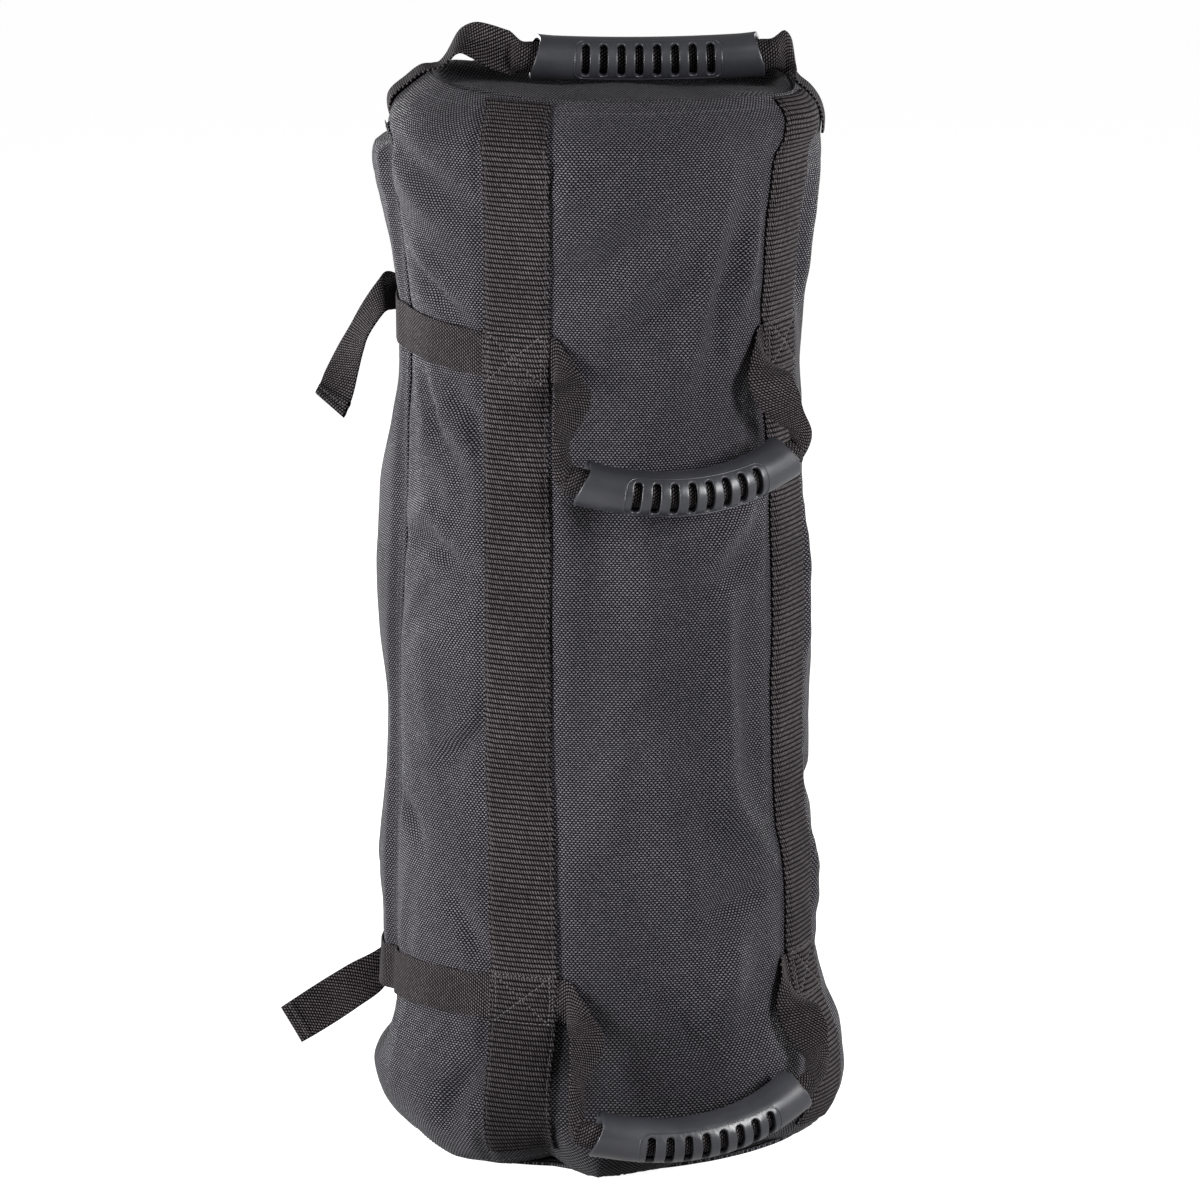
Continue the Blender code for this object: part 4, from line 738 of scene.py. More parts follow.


# each "gap" colour is painted shade: the dark of the recesses between the yarns
finishes = {
    "cloth": {
        "yarn": (0.122, 0.1145, 0.132), "gap": (0.0012, 0.0011, 0.0013), "across": 0.0022, "along": 0.0013,
        "worn": (9.0, 0.78, 1.22), "rough": (0.98, 0.30), "soft": (0.04, 0.35, 0.14),
    },
    "innerBag": {
        "yarn": (0.24, 0.24, 0.25), "gap": (0.06, 0.06, 0.065), "across": 0.0016, "along": 0.0011,
        "worn": (9.0, 0.78, 1.22), "rough": (0.98, 0.30), "soft": (0.10, 0.35, 0.14),
    },
    "webbing": {
        "yarn": (0.082, 0.072, 0.0755), "gap": (0.0012, 0.0010, 0.0011), "across": 0.0017, "along": 0.0028,
        "worn": (14.0, 0.80, 1.22), "rough": (0.92, 0.66), "soft": (0.01, 0.5, 0.05),
    },
    "narrow": {
        "yarn": (0.080, 0.071, 0.074), "gap": (0.0014, 0.0012, 0.0013), "across": 0.0020, "along": 0.0014,
        "worn": (20.0, 0.82, 1.20), "rough": (0.92, 0.62), "soft": (0.01, 0.5, 0.05),
    },
    "zipTape": {
        "yarn": (0.050, 0.050, 0.054), "gap": (0.012, 0.012, 0.013), "across": 0.0010, "along": 0.0008,
        "worn": (20.0, 0.82, 1.20), "rough": (0.92, 0.62), "soft": (0.01, 0.5, 0.05),
    },
}


def clothFinish(name, s):
    made, tree, shader = startMaterial(name)
    u, v = surfacePlaces(tree)
    spot = objectPlaces(tree)
    drift = unevenness(tree, spot, 140.0, 0.0005)
    u, v = calc(tree, "ADD", u, drift), calc(tree, "ADD", v, drift)
    far, number, _, inRow = dottedWeave(tree, u, v, s["across"], s["along"])
    yarn = remap(tree, far, 0.90, 0.06)
    strands = calc(tree, "SINE", calc(tree, "MULTIPLY", inRow, 30.0))
    level = plus(tree, plus(tree, 0.78, number, 0.38), strands, 0.06)
    level = footShade(tree, spot, wornLevel(tree, spot, level, *s["worn"]))
    yarnLook(tree, shader, s, yarn, level)
    height = plus(tree, plus(tree, yarn, strands, 0.12), noiseField(tree, spot, 30.0, 4.0), 0.9)
    bumpFrom(tree, shader, height, 0.85, 0.00034)
    return made


def ribbedFinish(name, s):
    # wide webbing: rows of slanted stitches across it, between firm edges
    made, tree, shader = startMaterial(name)
    u, v = surfacePlaces(tree)
    spot = objectPlaces(tree)
    v = calc(tree, "ADD", v, unevenness(tree, spot, 120.0, 0.0006))
    _, number, inCell, inRow = dottedWeave(tree, u, v, s["across"], s["along"], 0.75)
    stitch = remap(tree, calc(tree, "ABSOLUTE", inCell), 0.40, 0.14)
    rib = remap(tree, calc(tree, "ABSOLUTE", inRow), 0.46, 0.14)
    # between the ribs and the stitches the gap's painted shade shows
    yarn = calc(tree, "MULTIPLY", rib, plus(tree, 0.03, stitch, 0.97))
    level = wornLevel(tree, spot, plus(tree, 0.74, number, 0.45), *s["worn"])
    yarnLook(tree, shader, s, yarn, footShade(tree, spot, level))
    bumpFrom(tree, shader, plus(tree, yarn, noiseField(tree, spot, 900.0, 2.0), 0.35), 0.85, 0.00045)
    return made


def narrowFinish(name, s):
    made, tree, shader = startMaterial(name)
    u, v = surfacePlaces(tree)
    spot = objectPlaces(tree)
    far, number, _, _ = dottedWeave(tree, u, v, s["across"], s["along"], 0.35)
    yarn = remap(tree, far, 1.0, 0.10)
    yarnLook(tree, shader, s, yarn, wornLevel(tree, spot, plus(tree, 0.75, number, 0.42), *s["worn"]))
    bumpFrom(tree, shader, plus(tree, yarn, noiseField(tree, spot, 800.0, 2.0), 0.3), 0.85, 0.00045)
    return made


def mouldedFinish(name, colour, roughness, grain=1400.0):
    made, tree, shader = startMaterial(name)
    spot = objectPlaces(tree)
    broad = noiseField(tree, spot, 26.0, 4.0)
    light = tuple(min(1.0, c * 1.25 + 0.004) for c in colour)
    tree.links.new(blendColours(tree, remap(tree, broad, 0.30, 0.75), colour, light), shader.inputs["Base Color"])
    scuff = remap(tree, noiseField(tree, spot, 130.0, 5.0, 0.7), 0.52, 0.72)
    worn = remap(tree, broad, 0.3, 0.7, roughness - 0.05, roughness + 0.06)
    tree.links.new(plus(tree, worn, scuff, 0.08), shader.inputs["Roughness"])
    shader.inputs["Specular IOR Level"].default_value = 0.5
    bumpFrom(tree, shader, plus(tree, noiseField(tree, spot, grain, 2.0), broad, 1.6), 0.30, 0.00018)
    return made


def metalFinish(name, colour):
    made, tree, shader = startMaterial(name)
    spot = objectPlaces(tree)
    dull = noiseField(tree, spot, 220.0, 4.0)
    dark = tuple(c * 0.7 for c in colour)
    tree.links.new(blendColours(tree, remap(tree, dull, 0.35, 0.70), dark, colour), shader.inputs["Base Color"])
    shader.inputs["Metallic"].default_value = 1.0
    tree.links.new(remap(tree, dull, 0.3, 0.7, 0.30, 0.48), shader.inputs["Roughness"])
    bumpFrom(tree, shader, noiseField(tree, spot, 900.0, 3.0), 0.25, 0.0001)
    return made


def threadFinish(name, colour):
    made, tree, shader = startMaterial(name)
    spot = objectPlaces(tree)
    twist = noiseField(tree, spot, 1600.0, 2.0)
    dark = tuple(c * 0.55 for c in colour)
    tree.links.new(blendColours(tree, remap(tree, twist, 0.35, 0.65), dark, colour), shader.inputs["Base Color"])
    tree.links.new(remap(tree, twist, 0.3, 0.7, 0.6, 0.75), shader.inputs["Roughness"])
    bumpFrom(tree, shader, twist, 0.5, 0.0002)
    return made


def sandFinish(name):
    made, tree, shader = startMaterial(name)
    spot = objectPlaces(tree)
    grains = tree.nodes.new("ShaderNodeTexVoronoi")
    grains.inputs["Scale"].default_value = 1100.0
    tree.links.new(spot, grains.inputs["Vector"])
    damp = remap(tree, noiseField(tree, spot, 24.0, 4.0), 0.3, 0.7)
    dry = blendColours(tree, damp, (0.44, 0.33, 0.20), (0.60, 0.48, 0.33))
    between = remap(tree, grains.outputs["Distance"], 0.0, 0.7)
    tree.links.new(blendColours(tree, between, dry, (0.30, 0.22, 0.14)), shader.inputs["Base Color"])
    tree.links.new(remap(tree, damp, 0.0, 1.0, 0.82, 0.97), shader.inputs["Roughness"])
    bumpFrom(tree, shader, grains.outputs["Distance"], 0.8, 0.0006)
    return made


barrelCloth = clothFinish("barrelCloth", finishes["cloth"])
innerCloth = clothFinish("innerBagCloth", finishes["innerBag"])
zipTape = narrowFinish("zipTapeWeave", finishes["zipTape"])
wideWebbing = ribbedFinish("wideWebbing", finishes["webbing"])
narrowWebbing = narrowFinish("narrowWebbing", finishes["narrow"])
gripPlastic = mouldedFinish("gripPlastic", (0.0205, 0.021, 0.0255), 0.34)
bucklePlastic = mouldedFinish("bucklePlastic", (0.022, 0.022, 0.024), 0.36, 900.0)
zipPlastic = mouldedFinish("zipToothPlastic", (0.028, 0.028, 0.031), 0.42, 1800.0)
zipMetal = metalFinish("zipMetal", (0.34, 0.34, 0.36))
clothThread = threadFinish("clothThread", (0.060, 0.057, 0.063))
boxThread = threadFinish("boxStitchThread", (0.105, 0.098, 0.096))
looseSand = sandFinish("looseSand")
print("finishes made")


def repeatTree():
    # stitches and zip teeth: small rounded shapes, spaced along lines
    tree = bpy.data.node_groups.new("repeatAlongLines", "GeometryNodeTree")
    face = tree.interface
    face.new_socket(name="Geometry", in_out="INPUT", socket_type="NodeSocketGeometry")
    for name in ("Pitch", "Length", "Width", "Height"):
        face.new_socket(name=name, in_out="INPUT", socket_type="NodeSocketFloat")
    face.new_socket(name="Finish", in_out="INPUT", socket_type="NodeSocketMaterial")
    face.new_socket(name="Geometry", in_out="OUTPUT", socket_type="NodeSocketGeometry")
    n = tree.nodes
    start, end = n.new("NodeGroupInput"), n.new("NodeGroupOutput")
    line = n.new("GeometryNodeMeshToCurve")
    spaced = n.new("GeometryNodeResampleCurve")
    spaced.mode = "LENGTH"
    shape = n.new("GeometryNodeMeshUVSphere")
    shape.inputs["Segments"].default_value = 6
    shape.inputs["Rings"].default_value = 5
    shape.inputs["Radius"].default_value = 0.5
    size, along = n.new("ShaderNodeCombineXYZ"), n.new("GeometryNodeInputTangent")
    turned = n.new("FunctionNodeAlignEulerToVector")
    turned.axis = "X"
    placed, real = n.new("GeometryNodeInstanceOnPoints"), n.new("GeometryNodeRealizeInstances")
    finish = n.new("GeometryNodeSetMaterial")
    for source, output, target, socket in (
        (start, "Geometry", line, 0), (line, 0, spaced, "Curve"), (start, "Pitch", spaced, "Length"),
        (spaced, 0, placed, "Points"), (shape, "Mesh", placed, "Instance"), (start, "Length", size, 0),
        (start, "Width", size, 1), (start, "Height", size, 2), (size, 0, placed, "Scale"),
        (along, 0, turned, "Vector"), (turned, 0, placed, "Rotation"), (placed, 0, real, 0),
        (real, 0, finish, "Geometry"), (start, "Finish", finish, "Material"), (finish, 0, end, 0),
    ):
        tree.links.new(source.outputs[output], target.inputs[socket])
    return tree


repeats = repeatTree()
stitches = {  # pitch, length, width and height
    "rim": (0.0036, 0.0026, 0.00055, 0.0004), "strapEdge": (0.0034, 0.0024, 0.00050, 0.00036),
    "strapBox": (0.0024, 0.0018, 0.00078, 0.00062), "flap": (0.0034, 0.0026, 0.0006, 0.00045),
    "tail": (0.0026, 0.0019, 0.0006, 0.0005), "anchor": (0.0024, 0.0018, 0.0006, 0.0005),
}


def alongLines(name, lines, sizes, material, body, nodes=()):
    # one piece of small shapes, spaced along lines of points
    points, edges = [], []
    for line in lines:
        first = len(points)
        points += [tuple(p) for p in np.asarray(line, float).tolist()]
        edges += [(k, k + 1) for k in range(first, len(points) - 1)]
    mesh = bpy.data.meshes.new(name + "Lines")
    mesh.from_pydata(points, edges, [])
    guide = bpy.data.objects.new(name + "Lines", mesh)
    scene.collection.objects.link(guide)
    step = guide.modifiers.new("repeat", "NODES")
    step.node_group = repeats
    sockets = {item.name: item.identifier for item in repeats.interface.items_tree if item.in_out == "INPUT"}
    for key, value in zip(("Pitch", "Length", "Width", "Height"), sizes):
        step[sockets[key]] = float(value)
    step[sockets["Finish"]] = material
    bpy.context.view_layer.update()
    result = bpy.data.meshes.new_from_object(guide.evaluated_get(bpy.context.evaluated_depsgraph_get()))
    result.name = name
    bpy.data.objects.remove(guide, do_unlink=True)
    result.shade_smooth()
    return addPiece(name, result, material, body, nodes)


def barrelHeights():
    # closer rows at the rounded ends, and exact rows at the slot's ends
    low, middle, high = barrel["rows"]
    start = barrel["slotLow"] * (np.linspace(0, 1, low * 2 + 1) ** 1.25)
    centre = np.linspace(barrel["slotLow"], barrel["slotHigh"], middle + 1)
    end = barrel["slotHigh"] + (barrel["height"] - barrel["slotHigh"]) * (1 - (1 - np.linspace(0, 1, high + 1)) ** 1.3)
    return np.concatenate((start, centre[1:], end[1:])), len(start) - 1, len(start) - 1 + middle


def barrelAngles():
    zipLine, half = math.radians(barrel["zipAngle"]), math.asin(barrel["slotWidth"] / 2 / barrel["zipDepth"])
    over = np.linspace(zipLine - half, zipLine + half, 5)
    around = np.linspace(zipLine + half, zipLine - half + 2 * math.pi, barrel["columns"] - 3)
    return np.concatenate((over, around[1:-1]))


def makeBarrel():
    angles = barrelAngles()
    heights, low, high = barrelHeights()
    outer, inner = (onWall(angles[None, :], heights[:, None], offset) for offset in (0.0, -barrel["cloth"]))
    columns = len(angles)
    gap = np.zeros((len(heights) - 1, columns), bool)
    gap[low:high, 0:4] = True
    arc = np.concatenate((angles, [angles[0] + 2 * math.pi])) * barrel["turn"]
    uv = np.stack(np.broadcast_arrays(arc[None, :], lengthsAlong(outer[:, 40])[:, None]), -1)
    mesh = shellMesh("barrelPanel", outer, inner, uv, True, gap, (low, high, 0, 4))
    return addPiece("barrelPanel", mesh, barrelCloth, "bag", ("barrel_panel",))


ends = {
    "trough": 0.0090, "troughInner": 0.013, "troughOuter": 0.034, "topAngle": -14.5, "tape": 0.0010,
    "rings": (
        1.0, 0.985, 0.955, 0.92, 0.88, 0.84, 0.80, 0.75, 0.70, 0.65, 0.60, 0.55, 0.50, 0.45, 0.40, 0.35, 0.30, 0.25,
        0.20, 0.15, 0.10, 0.05,
    ),
    "puckers": 0.0016, "sunkRim": 0.0013, "seams": (0.5985, 0.0040),
}


def topLevel(angle, radius, share):
    beside = np.abs(radius * np.sin(angle - math.radians(ends["topAngle"]) - math.pi / 2))
    deep = (1 - smoothStep(ends["troughInner"], ends["troughOuter"], beside)) * (1 - smoothStep(0.93, 1.0, share))
    level = barrel["height"] + rimRise(angle, barrel["height"]) * share - ends["trough"] * deep
    level = level - ends["sunkRim"] * smoothStep(0.955, 0.985, share)
    x, y = radius * np.sin(angle), -radius * np.cos(angle)
    soft = np.sin(70 * x + 31 * y + 1.0) * np.cos(48 * y - 22 * x) + 0.6 * np.sin(120 * y + 40 * x + 2.0)
    soft = soft + 0.7 * np.sin(9 * angle + 3 * np.sin(2 * angle)) * smoothStep(0.5, 0.95, share)
    return level + ends["puckers"] * 0.7 * soft * (1 - smoothStep(0.95, 1.0, share))


def bottomLevel(angle, radius, share):
    return 0.0 * angle + barrel["lowest"]


def makePanel(name, node, height, level, inward):
    angles = barrelAngles()
    edge = onWall(angles, np.full(len(angles), height), -barrel["cloth"])
    reach = np.hypot(edge[:, 0], edge[:, 1]) - 0.0003
    shares = np.array(ends["rings"])
    radius = reach[None, :] * shares[:, None]
    a = np.broadcast_to(angles[None, :], radius.shape)
    s = np.broadcast_to(shares[:, None], radius.shape)
    outer = roundPlaces(a, radius, level(a, radius, s))
    thick = np.array((0.0, 0.0, inward * barrel["cloth"]))
    inner = outer + thick
    rings, columns = radius.shape
    points = np.concatenate((outer.reshape(-1, 3), inner.reshape(-1, 3)))
    centreOut = np.array((0.0, 0.0, outer[-1, :, 2].mean()))
    points = np.concatenate((points, [centreOut, centreOut + thick]))
    quads = facesOfGrid(rings, columns, True)
    index = quads[..., 0] * columns + quads[..., 1] % columns
    back = rings * columns
    faces = index.tolist() + (index[:, ::-1] + back).tolist()
    for j in range(columns):
        k = (j + 1) % columns
        faces.append((k, j, back + j, back + k))
        last = (rings - 1) * columns
        faces.append((last + j, last + k, 2 * back))
        faces.append((back + last + k, back + last + j, 2 * back + 1))
    if closedVolume(points, faces) < 0:
        faces = [tuple(reversed(f)) for f in faces]
    uv = [points[i, :2] for f in faces for i in f]
    return addPiece(name, meshFrom(name, points, faces, uv), barrelCloth, "bag", (node,))


def makeSeamTape(name, node, height, level, inward):
    angles = np.linspace(-math.pi, math.pi, 145)[:-1]
    edge = onWall(angles, np.full(len(angles), height), -barrel["cloth"])
    reach = np.hypot(edge[:, 0], edge[:, 1]) - 0.0006
    rows = []
    for share in (1.0, 0.985, 0.965, 0.945, 0.93):
        radius = reach * share
        down = inward * (barrel["cloth"] + 0.0010 + 0.00025 * np.sin(angles * 60) * (share < 0.94))
        rows.append(roundPlaces(angles, radius, level(angles, radius, share) + down))
    mesh = sheetMesh(name, np.array(rows), ends["tape"], ring=True)
    return addPiece(name, mesh, narrowWebbing, "bag", (node,))


makeBarrel()
makePanel("topPanel", "top_panel", barrel["height"], topLevel, -1)
makePanel("bottomPanel", "bottom_panel", 0.0, bottomLevel, 1)
around = np.linspace(-math.pi, math.pi, 400)
rimLines = [onWall(around, level, 0.0001) for level in ends["seams"]]
alongLines("rimStitches", rimLines, stitches["rim"], clothThread, "bag")
makeSeamTape("topSeamTape", "top_seam_tape", barrel["height"], topLevel, -1)
makeSeamTape("bottomSeamTape", "bottom_seam_tape", 0.0, bottomLevel, 1)
print("barrel and end panels made")

longStraps = {
    "low": 0.020, "high": 0.996, "columns": 35, "rows": 500, "stitchInset": 0.0022,
    "boxWide": 0.0158, "boxTall": 0.0132, "sunk": 0.00090,
}


def tuckedRise(height):
    # the strap swells over the webbing that is sewn under it
    rise = 0.0
    for level in (straps["upper"], straps["lower"]):
        rise = rise + 0.0013 * (1 - smoothStep(0.0115, 0.0165, np.abs(height - level)))
    return rise


def strapAngle(side, inset, height):
    middle = strapMiddle(side, height)
    return middle + inset / wallRadius(middle, height)


def boxLines():
    w, h = longStraps["boxWide"], longStraps["boxTall"]
    a, b, c, d = (-w, -h), (w, -h), (w, h), (-w, h)
    return (a, b), (b, c), (c, d), (d, a), (a, c), (d, b)


def strapLift(inset, height):
    # swollen at its middle and sunk along its seams
    s = longStraps
    half = straps["longWidth"] / 2
    lift = straps["laid"] * 0.7 + straps["web"] / 2 + tuckedRise(height)
    lift = lift - s["sunk"] * 0.7 * np.exp(-((half - s["stitchInset"] - np.abs(inset)) / 0.0009) ** 2)
    for level in (straps["upper"], straps["lower"]):
        near = np.full(np.broadcast(inset, height).shape, 1.0)
        for (x0, z0), (x1, z1) in boxLines():
            dx, dz = x1 - x0, z1 - z0
            t = np.clip(((inset - x0) * dx + (height - level - z0) * dz) / (dx * dx + dz * dz), 0, 1)
            near = np.minimum(near, np.hypot(inset - x0 - dx * t, height - level - z0 - dz * t))
        lift = lift - s["sunk"] * np.exp(-(near / 0.0010) ** 2)
    return lift


def makeLongStrap(name, node, side):
    s = longStraps
    half = straps["longWidth"] / 2
    heights = np.linspace(s["low"] * barrel["height"], s["high"] * barrel["height"], s["rows"])[:, None]
    insets = np.linspace(-half, half, s["columns"])[None, :]
    grid = onWall(strapAngle(side, insets, heights), heights, strapLift(insets, heights))
    mesh = sheetMesh(name, grid, straps["web"])
    addPiece(name, mesh, wideWebbing, "bag", (node,))
    lines = []
    heights = heights[:, 0]
    for edge in (-1, 1):
        inset = edge * (half - s["stitchInset"])
        lift = strapLift(inset, heights) + straps["web"] / 2 + 0.00005
        lines.append(onWall(strapAngle(side, inset, heights), heights, lift))
    alongLines(name + "EdgeStitches", lines, stitches["strapEdge"], clothThread, "bag")
    boxes = []
    for level in (straps["upper"], straps["lower"]):
        for (x0, z0), (x1, z1) in boxLines():
            t = np.linspace(0, 1, 14)
            x, z = x0 + (x1 - x0) * t, level + z0 + (z1 - z0) * t + 0.0002 * np.sin(t * 23 + x0 * 900)
            boxes.append(onWall(strapAngle(side, x, z), z, strapLift(x, z) + straps["web"] / 2 + 0.00012))
    alongLines(name + "BoxStitches", boxes, stitches["strapBox"], boxThread, "bag")


makeLongStrap("leftLongStrap", "left_long_strap", -1)
makeLongStrap("rightLongStrap", "right_long_strap", 1)
print("long straps made")


def flapOffset(angle, height, ending=True):
    # how far the flap stands off the rounded barrel: its seam, rear edge and, with ending, both ends sink to the flat
    across = np.clip((angle - math.radians(flap["root"])) / math.radians(flap["edge"] - flap["root"]), 0, 1)
    share = height / barrel["height"]
    bulge = flap["bulge"] * smoothRead(flap["bulges"], share)
    foot, head = 1 - smoothStep(0.0, 0.02, share - flap["low"]), smoothStep(-0.03, -0.005, share - flap["high"])
    ending = ending * np.maximum(foot, head)
    down = np.maximum((1 - smoothStep(0.0, 0.17, across)) + smoothStep(0.90, 1.0, across) * 0.5, ending)
    drop = (roundRadius(angle, height) - wallRadius(angle, height)) * down
    sewn = 0.0013 * (1 - smoothStep(0.0, 0.03, across))
    return straps["laid"] - sewn + bulge * np.sin(math.pi * across) ** 2 - drop


def makeFlap():
    angles = np.radians(np.linspace(flap["root"], flap["edge"], flap["columns"]))
    heights = np.linspace(flap["low"], flap["high"], flap["rows"]) * barrel["height"]
    a, z = np.meshgrid(angles, heights)
    offset = flapOffset(a, z) + barrel["cloth"] / 2 + 0.0003
    grid = onWall(a, z, offset, flat=False)
    mesh = sheetMesh("zipFlap", grid, barrel["cloth"])
    piece = addPiece("zipFlap", mesh, barrelCloth, "bag", ("zip_flap",))
    root, rear = math.radians(flap["root"]), math.radians(flap["edge"])
    seams = [(root - inset / barrel["turn"], heights) for inset in flap["rootSeams"]]
    seams.append((rear + flap["rearSeam"] / barrel["turn"], heights))
    seams += [(angles, level) for level in (heights[0] + flap["endSeam"], heights[-1] - flap["endSeam"])]
    lines = [onWall(a, z, flapOffset(a, z) + barrel["cloth"] + 0.00035, flat=False) for a, z in seams]
    alongLines("flapStitches", lines, stitches["flap"], clothThread, "bag")


makeFlap()
print("flap made")

buckle = {
    "angle": -147.0, "lift": 0.0040, "height": 0.0085, "socket": 0.034, "endBar": 0.0034, "plugStart": 0.0005,
    "plugFrame": 0.022, "plugHeight": 0.0050, "plugSlot": 0.0062, "middleBar": 0.0026, "seat": 0.0003,
    "anchorEnd": -183.0, "doubled": 0.0009, "hem": 0.0096, "hemLayers": (1.0, 2.4, 2.5, 1.8, 1.8, 2.5, 2.4, 1.2),
    "upper": {"level": 0.461, "rise": 0.010, "radius": 0.11488},
    "lower": {"level": 0.100, "rise": -0.008, "radius": 0.126169},
}
tails = {  # pairs of edge points: pixels of the frame, and metres towards the camera
    "upper": (
        ((404, 277, -0.046), (408, 311, -0.040)), ((389, 271, -0.040), (396, 309, -0.032)),
        ((377, 281, -0.034), (386, 312, -0.016)), ((362, 304, -0.034), (376, 323, -0.013)),
        ((350, 326, -0.033), (367, 338, -0.012)), ((337, 348, -0.030), (363, 352, -0.010)),
        ((325, 369, -0.026), (359, 374, -0.008)), ((318, 383, -0.022), (353, 402, -0.006)),
        ((313, 390, -0.018), (346, 420, -0.004)),
    ),
    "lower": (
        ((397, 925, -0.094), (395, 969, -0.096)), ((384, 944, -0.090), (384, 987, -0.091)),
        ((347, 965, -0.089), (358, 1007, -0.089)), ((316, 984, -0.093), (334, 1023, -0.093)),
        ((290, 1001, -0.094), (311, 1037, -0.094)), ((281, 1007, -0.095), (302, 1042, -0.095)),
    ),
}


def outwardFrame(angle, radius=0.0, height=0.0):
    # axes along the wall, out of it and up
    s, c = math.sin(angle), math.cos(angle)
    return Matrix(((c, s, 0.0, radius * s), (s, -c, 0.0, -radius * c), (0.0, 0.0, 1.0, height), (0.0, 0.0, 0.0, 1.0)))


def plainWallRadius(angle, height):
    return float(wallRadius(np.array(angle), np.array(height)))


def buckleFrame(which):
    s = buckle[which]
    return outwardFrame(math.radians(buckle["angle"]), s["radius"], s["level"] + s["rise"])


def acrossRows(high, low, columns):
    # a grid from pairs of edges
    t = np.linspace(0.0, 1.0, columns)
    return np.array(high)[:, None, :] * (1 - t)[None, :, None] + np.array(low)[:, None, :] * t[None, :, None]


def skin(angle, height, overFlap):
    # outermost cloth there, for webbing that lies on it
    rise = clothRise(angle, height)
    outside = roundRadius(angle, height) + rise
    if overFlap:
        covered = (angle <= math.radians(flap["root"]) + 0.03) & (angle >= math.radians(flap["edge"]) - 0.02)
        outside = outside + np.where(covered, flapOffset(angle, height, False) + barrel["cloth"] + 0.0003, 0.0)
    return outside


def laidRows(angles, levels, lift, overFlap, columns=9):
    # webbing laid round the bag: each column rests on the cloth or spans its hollows
    offsets = np.linspace(1, -1, columns) * straps["narrow"] / 2
    fine = np.linspace(1, -1, columns * 3) * straps["narrow"] / 2
    rows = []
    for angle, level, up in zip(angles, levels, lift):
        outside = skin(np.full(len(fine), angle), level + fine, overFlap)
        line = outside[0] + (outside[-1] - outside[0]) * np.linspace(0, 1, len(fine))
        lifted = line + max(0.0, float((outside - line).max()))
        filled = lifted * 0.75 + outside * 0.25 + 0.25 * np.maximum(0, outside - lifted)
        rows.append(roundPlaces(angle, np.interp(-offsets, -fine, filled) + up, level + offsets))
    return np.array(rows)


def webAlong(base, route, columns=9):
    # rows of webbing, its width upright, through places along and out from that frame
    half = Vector((0.0, 0.0, straps["narrow"] / 2))
    places = [base @ Vector((along, out, 0.0)) for along, out in route]
    return acrossRows([tuple(at + half) for at in places], [tuple(at - half) for at in places], columns)


def makeCinch(which):
    s, b = buckle[which], buckle
    level, rise = s["level"], s["rise"]
    place = buckleFrame(which)
    web, seat = straps["web"], b["seat"]
    halfWeb = web / 2
    root = float(strapMiddle(-1, level)) - (straps["longWidth"] / 2 - straps["tuck"]) / barrel["radius"]
    angles = np.linspace(root, math.radians(flap["edge"]) + 0.006, 120)
    fromRoot = np.clip((angles - root) / (math.radians(b["angle"]) - root), 0, 1)
    levels = level + rise * fromRoot
    laid = laidRows(angles, levels, np.full(len(angles), straps["clear"] + halfWeb), True)
    for _ in range(6):
        laid[1:-1] = (laid[:-2] + 2 * laid[1:-1] + laid[2:]) / 4
    inner = b["plugStart"] + b["endBar"] + b["plugSlot"]
    outer = inner + b["middleBar"]
    end = b["plugStart"] + b["plugFrame"]
    wrap = math.sqrt(2) * (halfWeb + seat)
    depth = -halfWeb - seat
    under = depth - web - 2 * seat
    over = b["plugHeight"] + wrap
    route = [(end, under), (inner, under), (inner - wrap, under + wrap), (inner - wrap, b["plugHeight"]),
             (inner, over), ((inner + outer) / 2, over)]
    grid = evenRows(cutCorners(np.concatenate((laid, webAlong(place, route))), 3), straps["step"])
    run = addWebbing(which + "CinchStrap", grid, None, f"{which}_cinch_strap")
    edge = onWall(math.radians(-118), np.array([level + rise * 0.7]), 0.004, flat=False)[0]
    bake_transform(run)
    # the free end, from the bar of the plug to its folded hem
    route = [((inner + outer) / 2, over), (outer, over), (outer + wrap, b["plugHeight"]),
             (outer + wrap, wrap), (outer + 2 * wrap, depth), (end + halfWeb, depth)]
    wrapped = cutCorners(webAlong(place, route), 3)
    start, way = place @ Vector((end + halfWeb, depth, 0.0)), Vector((0.0, 0.0, straps["narrow"] / 2))
    onward = [(start + way, start - way)] + [(seenAt(*one), seenAt(*two)) for one, two in tails[which]]
    grid = handleGrid(onward, [0.0] * len(onward), 0.0014, 9)
    grid = evenRows(np.concatenate((wrapped[:-1], grid)), straps["tailStep"])
    hemRow = len(grid) - int(round(b["hem"] / straps["tailStep"]))

    def hemmed(shape):
        factor = np.ones(shape)
        for row, layers in enumerate(b["hemLayers"][:shape[0] - hemRow], hemRow):
            factor[row] = layers
        return factor

    addWebbing(which + "CinchTail", grid, f"{which}_plug", f"{which}_cinch_strap", hemmed)
    normal, row = gridNormals(grid), hemRow + 3
    lines = [grid[row, 1:-1] + sign * normal[row, 1:-1] * (web + 0.0001) for sign in (-1, 1)]
    alongLines(which + "TailStitches", lines, stitches["tail"], boxThread, f"{which}_plug")


